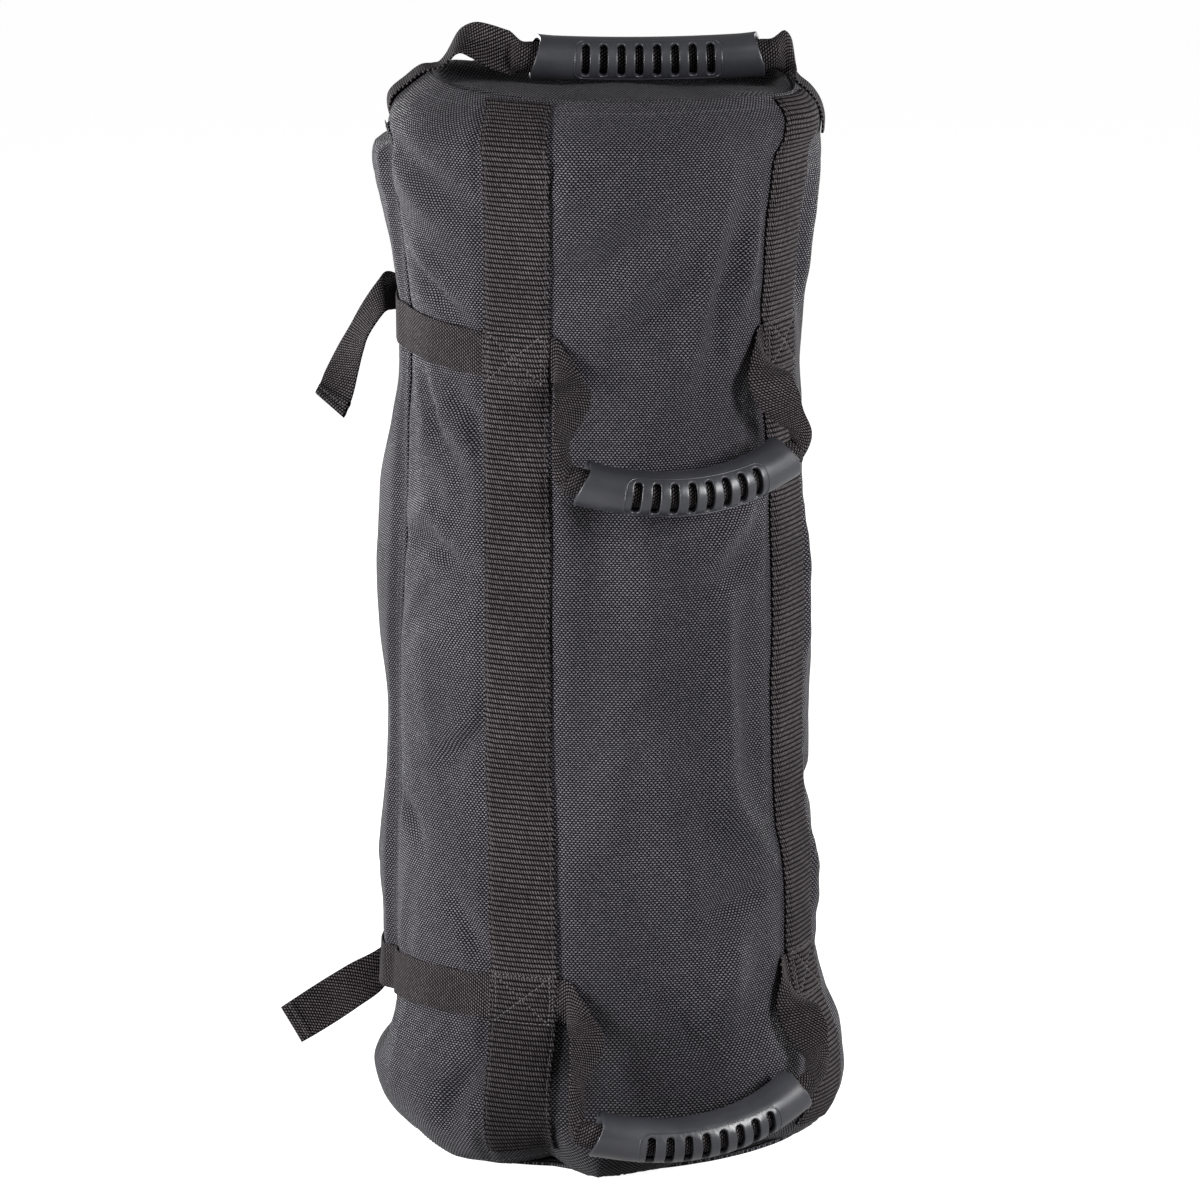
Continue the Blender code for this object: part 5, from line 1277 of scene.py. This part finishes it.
def makeAnchor(which):
    s, b = buckle[which], buckle
    height, halfWeb = s["level"] + s["rise"], straps["web"] / 2
    wrap = math.sqrt(2) * (halfWeb + b["seat"])
    far, near = -b["socket"], -b["socket"] + b["endBar"]
    angle = math.radians(b["angle"])
    begin = angle - math.asin((b["socket"] + b["endBar"]) / (plainWallRadius(angle, height) + b["lift"]))
    angles = np.linspace(math.radians(b["anchorEnd"]), begin, 26)
    levels = np.full(len(angles), height)
    upper = laidRows(angles, levels, np.full(len(angles), b["doubled"] + 3 * halfWeb), False)
    lower = laidRows(angles[::-1], levels, np.full(len(angles), straps["clear"] + halfWeb), False)
    route = [(far - wrap, halfWeb), (far - wrap, b["height"]), (far, b["height"] + wrap), (near, b["height"] + wrap),
             (near + wrap, b["height"]), (near + wrap, 0.0), (near, -wrap), (far, -wrap - halfWeb)]
    grid = np.concatenate((upper, webAlong(buckleFrame(which), route), lower))
    addWebbing(which + "AnchorStrap", evenRows(cutCorners(grid, 3), straps["step"]), "bag", f"{which}_anchor_strap")
    lines = []
    inset = 0.0032 / barrel["turn"]
    a0, a1 = angles[0] + inset, angles[0] + 0.021 / barrel["turn"]
    z0, z1 = height - 0.0095, height + 0.0095
    for path in (((a0, z0), (a1, z0), (a1, z1), (a0, z1), (a0, z0), (a1, z1)), ((a0, z1), (a1, z0))):
        points = np.concatenate([np.linspace(p, q, 10) for p, q in zip(path, path[1:])])
        over = np.full(len(points), b["doubled"] + 4 * halfWeb + 0.0001)
        rows = laidRows(points[:, 0], np.full(len(points), height), over, False, 33)
        offsets = np.linspace(1, -1, 33) * straps["narrow"] / 2
        above = points[:, 1] - height
        lines.append(np.array([[np.interp(-up, -offsets, part) for part in row.T] for row, up in zip(rows, above)]))
    alongLines(which + "AnchorStitches", lines, stitches["anchor"], boxThread, "bag")


def roundedCopy(node, material, body, width, name):
    # the CAD node's own shape, merged, with its edges softened
    bm = bmesh.new()
    bm.from_mesh(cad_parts[node].data)
    bmesh.ops.remove_doubles(bm, verts=bm.verts, dist=1e-6)
    bmesh.ops.dissolve_limit(bm, angle_limit=math.radians(2), verts=bm.verts, edges=bm.edges)
    bmesh.ops.recalc_face_normals(bm, faces=bm.faces)
    mesh = bpy.data.meshes.new(name)
    bm.to_mesh(mesh)
    bm.free()
    helper = bpy.data.objects.new("helper", mesh)
    scene.collection.objects.link(helper)
    bevel = helper.modifiers.new("soften", "BEVEL")
    bevel.width, bevel.segments, bevel.limit_method, bevel.angle_limit = width, 3, "ANGLE", math.radians(30)
    bpy.context.view_layer.update()
    result = bpy.data.meshes.new_from_object(helper.evaluated_get(bpy.context.evaluated_depsgraph_get()))
    bpy.data.objects.remove(helper, do_unlink=True)
    result.name = name
    result.shade_smooth()
    result.set_sharp_from_angle(angle=math.radians(50))
    return addPiece(name, result, material, body, (node,))


for which in ("upper", "lower"):
    makeCinch(which)
    makeAnchor(which)
    roundedCopy(f"{which}_buckle_socket", bucklePlastic, "bag", 0.0005, which + "Socket")
    roundedCopy(f"{which}_buckle_plug", bucklePlastic, f"{which}_plug", 0.0004, which + "Plug")
print("cinch straps and buckles made")

zipSettings = {
    "tapeOut": barrel["zipDepth"] - barrel["cloth"] - 0.0003, "tape": 0.0008, "tapeWidth": 0.013,
    "coilSpace": 0.0016, "coilWidth": 0.0022, "coilHeight": 0.0018, "stop": 0.004, "clear": 0.0006,
    "pitch": 0.00150, "tooth": 0.00095,
}


def makeZip(s):
    place = outwardFrame(math.radians(barrel["zipAngle"]))
    low, high = barrel["slotLow"], barrel["slotHigh"]
    for name, node, side in (("Front", "front", 1), ("Rear", "rear", -1)):
        edge = s["coilSpace"] / 2
        z = np.linspace(low - s["stop"], high + s["stop"], 120)
        x = np.linspace(edge, edge + s["tapeWidth"], 8) * side
        grid = np.array([[tuple(place @ Vector((xx, s["tapeOut"] - s["tape"] / 2, zz))) for xx in x] for zz in z])
        mesh = sheetMesh("zipTape" + name, grid, s["tape"])
        addPiece("zipTape" + name, mesh, zipTape, "bag", (f"zip_tape_{node}",))
        first, out = side * (edge + 0.0001), s["tapeOut"] + 0.0003 + s["coilHeight"] / 2
        across = side * (s["coilWidth"] - 0.0002) * Vector(place.col[0][:3])
        shift = (side > 0) * s["pitch"] / 2
        lines = []
        for level in np.arange(low + s["stop"] + s["clear"], high - s["stop"] - s["clear"], s["pitch"]):
            start = place @ Vector((first, out, level + shift))
            lines.append((tuple(start), tuple(start + across)))
        sizes = (0.0011, 0.0016, s["tooth"], s["coilHeight"])
        alongLines("zipCoil" + name, lines, sizes, zipPlastic, "bag", (f"zip_coil_{node}",))
    for node, body, width, name in (
        ("zip_top_stop", "bag", 0.0003, "zipTopStop"), ("zip_bottom_stop", "bag", 0.0003, "zipBottomStop"),
        ("zip_slider", "slider", 0.0002, "zipSlider"), ("zip_pull", "pull", 0.0002, "zipPull"),
    ):
        roundedCopy(node, zipMetal, body, width, name)


makeZip(zipSettings)
print("zip made")

grips = {
    "length": 0.129, "radius": 0.0125, "wall": 0.0026, "slots": 8, "pitch": 0.0100, "slotWidth": 0.0046,
    "slotArc": 0.0106, "edgeArc": 0.0150, "notch": 0.0046, "notchAt": 58.0, "flare": 0.04, "beadRadius": 0.00042,
    "beadLength": 0.0412, "beadHeight": 0.0128, "beadCorner": 0.0065, "upperRoll": 8.0, "topRoll": -4.0,
    "cross": {"sag": 0.0100, "bow": 0.0155}, "top": {"sag": 0.0020, "bow": 0.0},
    "turn": 3.6, "upperTilt": 2.4, "lowerTilt": 6.0, "lowerRoll": 25.0,
    "upperAt": (0.119555, 0.4005), "lowerAt": (0.139245, 0.0395), "topShift": 0.0262, "topRise": 0.0089,
    "foldChord": 0.0165, "foldPast": 0.05, "steps": (6, 16),
}


def gripPoint(share, sag, bow):
    span = grips["length"] - 8 * (sag ** 2 + bow ** 2) / (3 * grips["length"])
    middle = 1 - (2 * share - 1) ** 2
    return Vector((span * (share - 0.5), bow * middle, -sag * middle))


def gripTurn(share, sag, bow):
    step = 1 / 12
    along = (gripPoint(share + step, sag, bow) - gripPoint(share - step, sag, bow)).normalized()
    up = (Vector((0.0, 0.0, 1.0)) - along * along.z).normalized()
    turned = Matrix((along, up.cross(along), up)).transposed().to_4x4()
    return Matrix.Translation(gripPoint(share, sag, bow)) @ turned


def gripSkinPoint(place, s, spin, radius, sag, bow, roll):
    # a point at s along the grip, turned by spin from its slots, at a radius
    ring = place @ gripTurn(0.5 + s / grips["length"], sag, bow)
    angle = spin - roll
    return ring @ Vector((0.0, math.cos(angle) * radius, math.sin(angle) * radius))


def slotLoops():
    # loops round a slot and round its cell, of the same count, and the way out of the slot at each place
    g = grips
    a, b, half = g["slotWidth"] / 2, g["slotArc"], g["pitch"] / 2
    overEnd, upSide = g["steps"]
    slotLoop, boxLoop = [], []
    for k in range(upSide):
        t = -1 + 2 * k / upSide
        slotLoop.append((a, (b - a) * t))
        boxLoop.append((half, g["edgeArc"] * t))
    for k in range(overEnd):
        turn = math.pi * k / overEnd
        slotLoop.append((a * math.cos(turn), (b - a) + a * math.sin(turn)))
        boxLoop.append((half - 2 * half * k / overEnd, g["edgeArc"]))
    # the other half of each loop is the same, turned half round
    slotLoop, boxLoop = (np.concatenate((loop, -np.array(loop))) for loop in (slotLoop, boxLoop))
    outward = slotLoop - np.stack((0 * slotLoop[:, 0], np.clip(slotLoop[:, 1], -(b - a), b - a)), 1)
    return slotLoop, boxLoop, outward / np.linalg.norm(outward, axis=1, keepdims=True)


def slotRings(r, bore):
    # loops and their radius, from the skin over the slot's rounded edge and down to the bore
    slotLoop, boxLoop, outward = slotLoops()
    grown = slotLoop + outward * 0.0009
    between = grown * 0.45 + boxLoop * 0.55
    return (
        (boxLoop, r), (between, r), (grown, r), (slotLoop + outward * 0.00045, r - 0.00004),
        (slotLoop + outward * 0.00014, r - 0.00018), (slotLoop, r - 0.0005), (slotLoop, bore + 0.0003),
        (slotLoop + outward * 0.0003, bore), (between, bore), (boxLoop, bore),
    )


def mouthRows(r, bore):
    # the plain ends: share of the way to the mouth, radius, and how far past the mouth
    flare, tip = grips["flare"], r * (1 + grips["flare"])
    rows = [(t, r * (1 + flare * max(0.0, (t - 0.55) / 0.45) ** 1.5), 0.0)
            for t in (0.0, 0.2, 0.4, 0.6, 0.75, 0.87, 0.95, 1.0)]
    rows += [(1.0, tip - 0.00025, 0.00027), (1.0, tip - 0.0009, 0.00042), (1.0, bore + 0.0007, 0.00036)]
    return rows + [(1.0, bore + 0.0001, 0.0)] + [(t, bore, 0.0) for t in (0.85, 0.6, 0.3, 0.0)]


def notchDepth(spin):
    # how far the mouth is cut back there
    away = abs(turnBetween(spin, math.radians(grips["notchAt"]))) / math.radians(90)
    return grips["notch"] * max(0.0, 1 - math.sqrt(away * away + 0.0025)) if away < 1 else 0.0


def bandFaces(near, far, flip=False):
    # faces between two closed rows of the same count
    count = len(near)
    faces = [(near[k], near[(k + 1) % count], far[(k + 1) % count], far[k]) for k in range(count)]
    return [face[::-1] for face in faces] if flip else faces


def makeGrip(name, node, body, place, sag, bow, roll):
    g = grips
    r, bore = g["radius"], g["radius"] - g["wall"]
    edgeArc, half = g["edgeArc"], g["pitch"] / 2
    overEnd, upSide = g["steps"]
    backArcs = np.linspace(edgeArc, 2 * math.pi * r - edgeArc, 21)
    rings = slotRings(r, bore)
    points, faces = [], []

    def add(s, arc, radius):
        points.append((s, arc / r, radius))
        return len(points) - 1

    for cell in range(g["slots"]):
        centre = (cell - (g["slots"] - 1) / 2) * g["pitch"]
        loops = [[add(centre + p[0], p[1], radius) for p in loop] for loop, radius in rings]
        for near, far in zip(loops, loops[1:]):
            faces += bandFaces(near, far)
        along = [centre + half - 2 * half * k / overEnd for k in range(overEnd + 1)]
        for radius, flip in ((r, False), (bore, True)):
            strip = [[add(s, arc, radius) for s in along] for arc in backArcs]
            for one, two in zip(strip, strip[1:]):
                for k in range(overEnd):
                    face = (one[k], two[k], two[k + 1], one[k + 1])
                    faces.append(face[::-1] if flip else face)
    arcs = [edgeArc * (-1 + 2 * k / upSide) for k in range(upSide)] + list(backArcs[:-1])
    notches = [notchDepth((arc / r + math.pi) % (2 * math.pi) - math.pi) for arc in arcs]
    zone = half * g["slots"]
    for side in (-1, 1):
        ids = [[add(side * (zone + (g["length"] / 2 - notch - zone) * t + past), arc, radius)
                for arc, notch in zip(arcs, notches)] for t, radius, past in mouthRows(r, bore)]
        for near, far in zip(ids, ids[1:]):
            faces += bandFaces(near, far, side < 0)
    placed = np.array([tuple(gripSkinPoint(place, s, spin, radius, sag, bow, roll)) for s, spin, radius in points])
    bm = bmesh.new()
    verts = [bm.verts.new(p) for p in placed]
    for face in faces:
        bm.faces.new([verts[k] for k in face])
    bmesh.ops.remove_doubles(bm, verts=bm.verts, dist=2e-5)
    bmesh.ops.recalc_face_normals(bm, faces=bm.faces)
    if bm.calc_volume(signed=True) < 0:
        bmesh.ops.reverse_faces(bm, faces=bm.faces)
    addBead(bm, place, sag, bow, roll)
    mesh = bpy.data.meshes.new(name)
    bm.to_mesh(mesh)
    bm.free()
    mesh.shade_smooth()
    return addPiece(name, mesh, gripPlastic, body, (node,))


def addBead(bm, place, sag, bow, roll):
    # the fine moulded line round the slots
    g = grips
    long, tall, corner = g["beadLength"], g["beadHeight"], g["beadCorner"]
    outline = []
    for x, y, start in ((1, 1, 0), (-1, 1, 90), (-1, -1, 180), (1, -1, 270)):
        for k in range(9):
            t = math.radians(start + 90 * k / 8)
            outline.append((x * (long - corner) + corner * math.cos(t), y * (tall - corner) + corner * math.sin(t)))
    dense = []
    for p, q in zip(outline, outline[1:] + outline[:1]):
        count = max(1, int(math.dist(p, q) / 0.0025))
        dense += [(p[0] + (q[0] - p[0]) * k / count, p[1] + (q[1] - p[1]) * k / count) for k in range(count)]
    loops = []
    for i, p in enumerate(dense):
        q, o = dense[(i + 1) % len(dense)], dense[i - 1]
        way = Vector((q[0] - o[0], q[1] - o[1])).normalized()
        side = Vector((way.y, -way.x))
        loop = []
        for k in range(6):
            t = 2 * math.pi * k / 6
            off, rise = math.cos(t) * g["beadRadius"], math.sin(t) * g["beadRadius"] * 0.8
            s, arc = p[0] + side.x * off, p[1] + side.y * off
            loop.append(bm.verts.new(gripSkinPoint(place, s, arc / g["radius"], g["radius"] + rise, sag, bow, roll)))
        loops.append(loop)
    made = [bm.faces.new(face) for near, far in zip(loops, loops[1:] + loops[:1]) for face in bandFaces(near, far)]
    bmesh.ops.recalc_face_normals(bm, faces=made)


def crossPlace(which):
    g = grips
    distance, level = g[which + "At"]
    turn = math.radians(g["turn"])
    base = Matrix.Translation((distance * math.sin(turn), -distance * math.cos(turn), level))
    return base @ Matrix.Rotation(turn + math.pi, 4, "Z") @ Matrix.Rotation(math.radians(g[which + "Tilt"]), 4, "Y")


# a cross handle's legs between seam and grip: upper and lower edge, inwards, out and down in widths of the webbing,
# and the share of the way to the grip's mouth that the place has moved
legShares = (
    ((0.32, 0.10, -0.16), (0.08, 0.36, 0.52), 0.0), ((0.64, 0.18, 0.32), (0.16, 0.76, 0.48), 0.0),
    ((0.92, 0.28, 0.72), (0.22, 1.08, 0.56), 0.0), ((0.76, 0.56, 1.20), (0.26, 1.18, 0.96), 0.0),
    ((0.35, 0.63, 1.00), (0.07, 1.03, 0.76), 0.25), ((0.03, 0.41, 0.30), (-0.20, 0.75, 0.44), 0.60),
)
legOutwards = {-1: 0.0, 1: 0.18}  # how much further out the lower edge runs on each side


def clearOfCloth(point):
    angle = math.atan2(point.x, -point.y)
    clear = float(skin(np.array(angle), np.array(point.z), False)) + straps["laid"] + straps["web"]
    need = max(0.0, clear - math.hypot(point.x, point.y))
    return point + Vector((need * math.sin(angle), -need * math.cos(angle), 0.0))


def handleLeg(side, level, mouth):
    beside = (straps["longWidth"] / 2 + straps["rootGap"]) / barrel["radius"]
    edge = abs(float(strapMiddle(side, np.array(level)))) - beside
    sections = []
    for inward in (-0.0080, -0.0035, 0.0, 0.0030):
        angle = side * (edge - inward / barrel["radius"])
        pair = []
        for offset in (straps["narrow"] / 2, -straps["narrow"] / 2):
            outside = float(skin(np.array(angle), np.array(level + offset), False))
            radius = outside + straps["clear"] + straps["web"] / 2
            pair.append(Vector((radius * math.sin(angle), -radius * math.cos(angle), level + offset)))
        sections.append(tuple(pair))
    root = (sections[-1][0] + sections[-1][1]) / 2
    angle = side * (edge - 0.0030 / barrel["radius"])
    inward = Vector((-side * math.cos(angle), -abs(math.sin(angle)), 0.0))
    axes = Matrix((inward, Vector((math.sin(angle), -math.cos(angle), 0.0)), Vector((0.0, 0.0, -1.0)))).transposed()
    for upper, lower, share in legShares:
        outwards = legOutwards[side] * (math.sin(math.pi * share) if share else 1.0)
        lower, start = (lower[0] - outwards, *lower[1:]), root + (mouth - root) * share
        edges = (start + axes @ Vector(place) * straps["narrow"] for place in (upper, lower))
        sections.append(tuple(clearOfCloth(edge) for edge in edges))
    return sections


def foldedCore(place, sag, bow, roll):
    # edges of the folded webbing inside a grip, whose curl is centred on the grip
    chord, past, width = grips["foldChord"], grips["foldPast"], straps["narrow"]
    edges, turn = [], 1.0
    for _ in range(40):
        turn -= (math.sin(turn) / turn - chord / width) / ((turn * math.cos(turn) - math.sin(turn)) / turn ** 2)
    radius = chord / (2 * math.sin(turn))
    for share in (-past, *[k / 16 for k in range(17)], 1 + past):
        ring = place @ gripTurn(1 - share, sag, bow)
        out = Vector((0.0, math.cos(-roll), math.sin(-roll)))
        up = Vector((0.0, -math.sin(-roll), math.cos(-roll)))
        back = radius * math.cos(turn)
        edges.append((ring @ (out * back + up * chord / 2), ring @ (out * back - up * chord / 2)))
    return edges


def makeCrossHandle(which):
    g = grips
    place = crossPlace(which)
    sag, bow = g["cross"]["sag"], g["cross"]["bow"]
    roll = math.radians(g[which + "Roll"])
    body = f"{which}_handle"
    makeGrip(which + "Grip", f"{which}_handle_grip", body, place, sag, bow, roll)
    level = straps[which]
    left, right = (handleLeg(side, level, place @ gripPoint(0.5 - side * 0.5, sag, bow)) for side in (-1, 1))
    core = foldedCore(place, sag, bow, roll)
    curls = [0.0] * (len(left) - 1) + [0.3] + [1.0] * len(core) + [0.3] + [0.0] * (len(right) - 1)
    grid = handleGrid(left + core + right[::-1], curls)
    piece = addWebbing(which + "HandleWebbing", grid, None, f"{which}_handle_webbing")
    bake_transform(piece)


for which in ("upper", "lower"):
    makeCrossHandle(which)
print("cross handles made")

topLegs = {
    "loopRise": 0.016,
    "left": (  # along, up, then the way of its width: sideways, upwards
        ((0.740, 0.34), (1.0, -0.05)), ((0.708, 0.58), (1.0, 0.0)), ((0.682, 0.86), (1.0, 0.10)),
        ((0.652, 1.10), (0.94, 0.34)), ((0.595, 1.14), (0.72, 0.70)), ((0.505, 0.92), (0.28, 0.96)),
        ((0.42, 0.70), (0.08, 1.0)),
    ),
    "right": (((0.905, 0.24), (1.0, 0.2)), ((0.900, 0.42), (0.75, 0.66)), ((0.862, 0.62), (0.30, 0.95))),
    "rootTurn": {-1: 0.0, 1: -7.0},
    "sewn": (0.948, 0.960, 0.973, 0.988, 0.997), "giveLeft": (-0.088, -0.046), "giveRight": (0.1065, 0.0945),
}


def makeTopHandle():
    g = grips
    turned = Matrix.Rotation(math.radians(ends["topAngle"]), 4, "Z")
    above = Matrix.Translation((g["topShift"], 0.0, barrel["height"] + g["topRise"]))
    place = turned @ above @ Matrix.Rotation(math.pi, 4, "Z")
    sag, bow = g["top"]["sag"], g["top"]["bow"]
    roll = math.radians(g["topRoll"])
    makeGrip("topGrip", "top_grip", "top_handle", place, sag, bow, roll)
    legs = []
    half = straps["narrow"] / 2
    across, up = Vector((0.0, 1.0, 0.0)), Vector((0.0, 0.0, 1.0))
    turn3 = turned.to_3x3()
    for side, table in ((-1, topLegs["left"]), (1, topLegs["right"])):
        angle = (math.pi / 2) * side + math.radians(ends["topAngle"] + topLegs["rootTurn"][side])
        leg = []
        for share in topLegs["sewn"]:
            at = Vector(onWall(angle, barrel["height"] * share, straps["laid"] + straps["web"] / 2).tolist())
            way = Vector((side * math.cos(angle), side * math.sin(angle), 0.0)) * half
            leg.append((at + way, at - way))
        for (along, rise), (sideways, upwards) in table:
            at = turned @ Vector((side * barrel["radius"] * along, 0.0, barrel["height"] + topLegs["loopRise"] * rise))
            way = (turn3 @ (across * sideways + up * upwards)).normalized() * half
            leg.append((at + way, at - way))
        legs.append(leg)
    core = foldedCore(place, sag, bow, roll)
    curls = [0.0] * len(legs[0]) + [1.0] * len(core) + [0.0] * len(legs[1])
    grid = handleGrid(legs[0] + core + legs[1][::-1], curls)
    # two halves that meet inside the grip, one for each leg between its seam and the grip's mouth
    centre = np.array(turned @ Vector((g["topShift"], 0.0, 0.0)))
    along = (grid[:, grid.shape[1] // 2] - centre) @ np.array(turned.col[0][:3])
    middle = int(np.argmin(np.abs(along)))
    for name, rows in (("Left", grid[:middle + 1]), ("Right", grid[middle:])):
        piece = addWebbing("topHandleWebbing" + name, rows, None, "top_handle_webbing")
        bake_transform(piece)


makeTopHandle()
print("top handle made")

# the inner bags of sand
inner = {
    "count": 3, "gap": 0.0060, "cloth": 0.0010, "slack": 0.0006, "round": 0.016, "draw": 1.6, "crease": 0.0011,
    "closure": (0.150, 0.022, 0.0060), "fold": 0.0003, "turn": 0.11, "columns": 96, "rows": 34,
}


def innerLevels(index):
    floor = barrel["cloth"] + 0.0003
    ceiling = barrel["height"] - ends["trough"] - barrel["cloth"] - ends["tape"] - 2 * straps["laid"]
    pitch = (ceiling - floor) / inner["count"]
    low = floor + pitch * index
    return low, low + pitch - inner["closure"][2] - 0.0006


def innerGrid(low, high, inset, seed):
    # a filled sack's outside: drawn in at both ends, with soft creases
    s = inner
    angles = np.linspace(0, 2 * math.pi, s["columns"], endpoint=False)
    t = np.linspace(0, 1, s["rows"])
    heights = low + inset + (high - low - 2 * inset) * t
    near = np.array([wallRadius(angles, h) for h in np.linspace(low, high, 12)]).min(0)
    reach = near - barrel["cloth"] - s["gap"] - inset
    end = np.minimum(heights - low - inset, high - inset - heights)
    corner = np.clip(1 - end / s["round"], 0, 1)
    drawn = s["round"] * s["draw"] * (1 - np.sqrt(np.clip(1 - corner ** 2, 0, 1)))
    soft = s["crease"] * (np.sin(angles[None, :] * 7 + seed + 9 * t[:, None]) * np.sin(t[:, None] * 11 + seed) - 1.0)
    radius = reach[None, :] - drawn[:, None] + soft * (1 - corner[:, None])
    a, z = np.meshgrid(angles, heights)
    return roundPlaces(a, radius, z)


def sackMesh(name, grid):
    # a closed sack round a grid whose first and last rows are drawn together
    low, high = (source.mean(0) + (source - source.mean(0)) * np.array((0.75, 0.5, 0.25))[:, None, None]
                 for source in (grid[0], grid[-1]))
    whole = np.concatenate((low[::-1], grid, high))
    rows, columns = whole.shape[:2]
    quads = facesOfGrid(rows, columns, True)
    faces = (quads[..., 0] * columns + quads[..., 1] % columns).tolist()
    points = np.concatenate((whole.reshape(-1, 3), [whole[0].mean(0), whole[-1].mean(0)]))
    for j in range(columns):
        k = (j + 1) % columns
        faces.append((k, j, rows * columns))
        faces.append(((rows - 1) * columns + j, (rows - 1) * columns + k, rows * columns + 1))
    if closedVolume(points, faces) < 0:
        faces = [tuple(reversed(f)) for f in faces]
    uv = []
    for f in faces:
        around = [math.atan2(points[i][0], -points[i][1]) for i in f]
        if max(around) - min(around) > math.pi:
            around = [a + 2 * math.pi if a < 0 else a for a in around]
        uv += [(a * inner["turn"], points[i][2]) for a, i in zip(around, f)]
    return meshFrom(name, points, faces, uv)


def makeInnerBag(index):
    low, high = innerLevels(index)
    number, s = index + 1, inner
    for name, node, inset, finish, slot in (
        ("innerBag", "inner_bag", 0.0, innerCloth, "inner_cloth"),
        ("sandFill", "sand_fill", s["cloth"] + s["slack"], looseSand, "sand"),
    ):
        mesh = sackMesh(f"{name}{number}", innerGrid(low, high, inset, index * 2.0))
        addPiece(f"{name}{number}", mesh, finish, "bag", (f"{node}_{number}",))
    # the closure is the sack's mouth, rolled up
    long, wide, tall = s["closure"]
    x = np.linspace(-long / 2, long / 2, 60)[:, None]
    around = np.linspace(0, 2 * math.pi, 28, endpoint=False)[None, :]
    shrink = np.where(np.abs(x) > long / 2 - 0.0015, 0.85, 1.0)
    rise = (tall / 2) * np.sin(around) * (0.92 + 0.05 * np.sin(x * 260))
    middle = high + s["fold"] + tall / 2
    rolled = np.stack(np.broadcast_arrays(x, (wide / 2) * np.cos(around) * shrink, middle + rise * shrink), -1)
    mesh = sackMesh(f"innerClosure{number}", rolled)
    addPiece(f"innerClosure{number}", mesh, narrowWebbing, "bag", (f"inner_closure_{number}",))


for index in range(inner["count"]):
    makeInnerBag(index)
print("inner bags made")
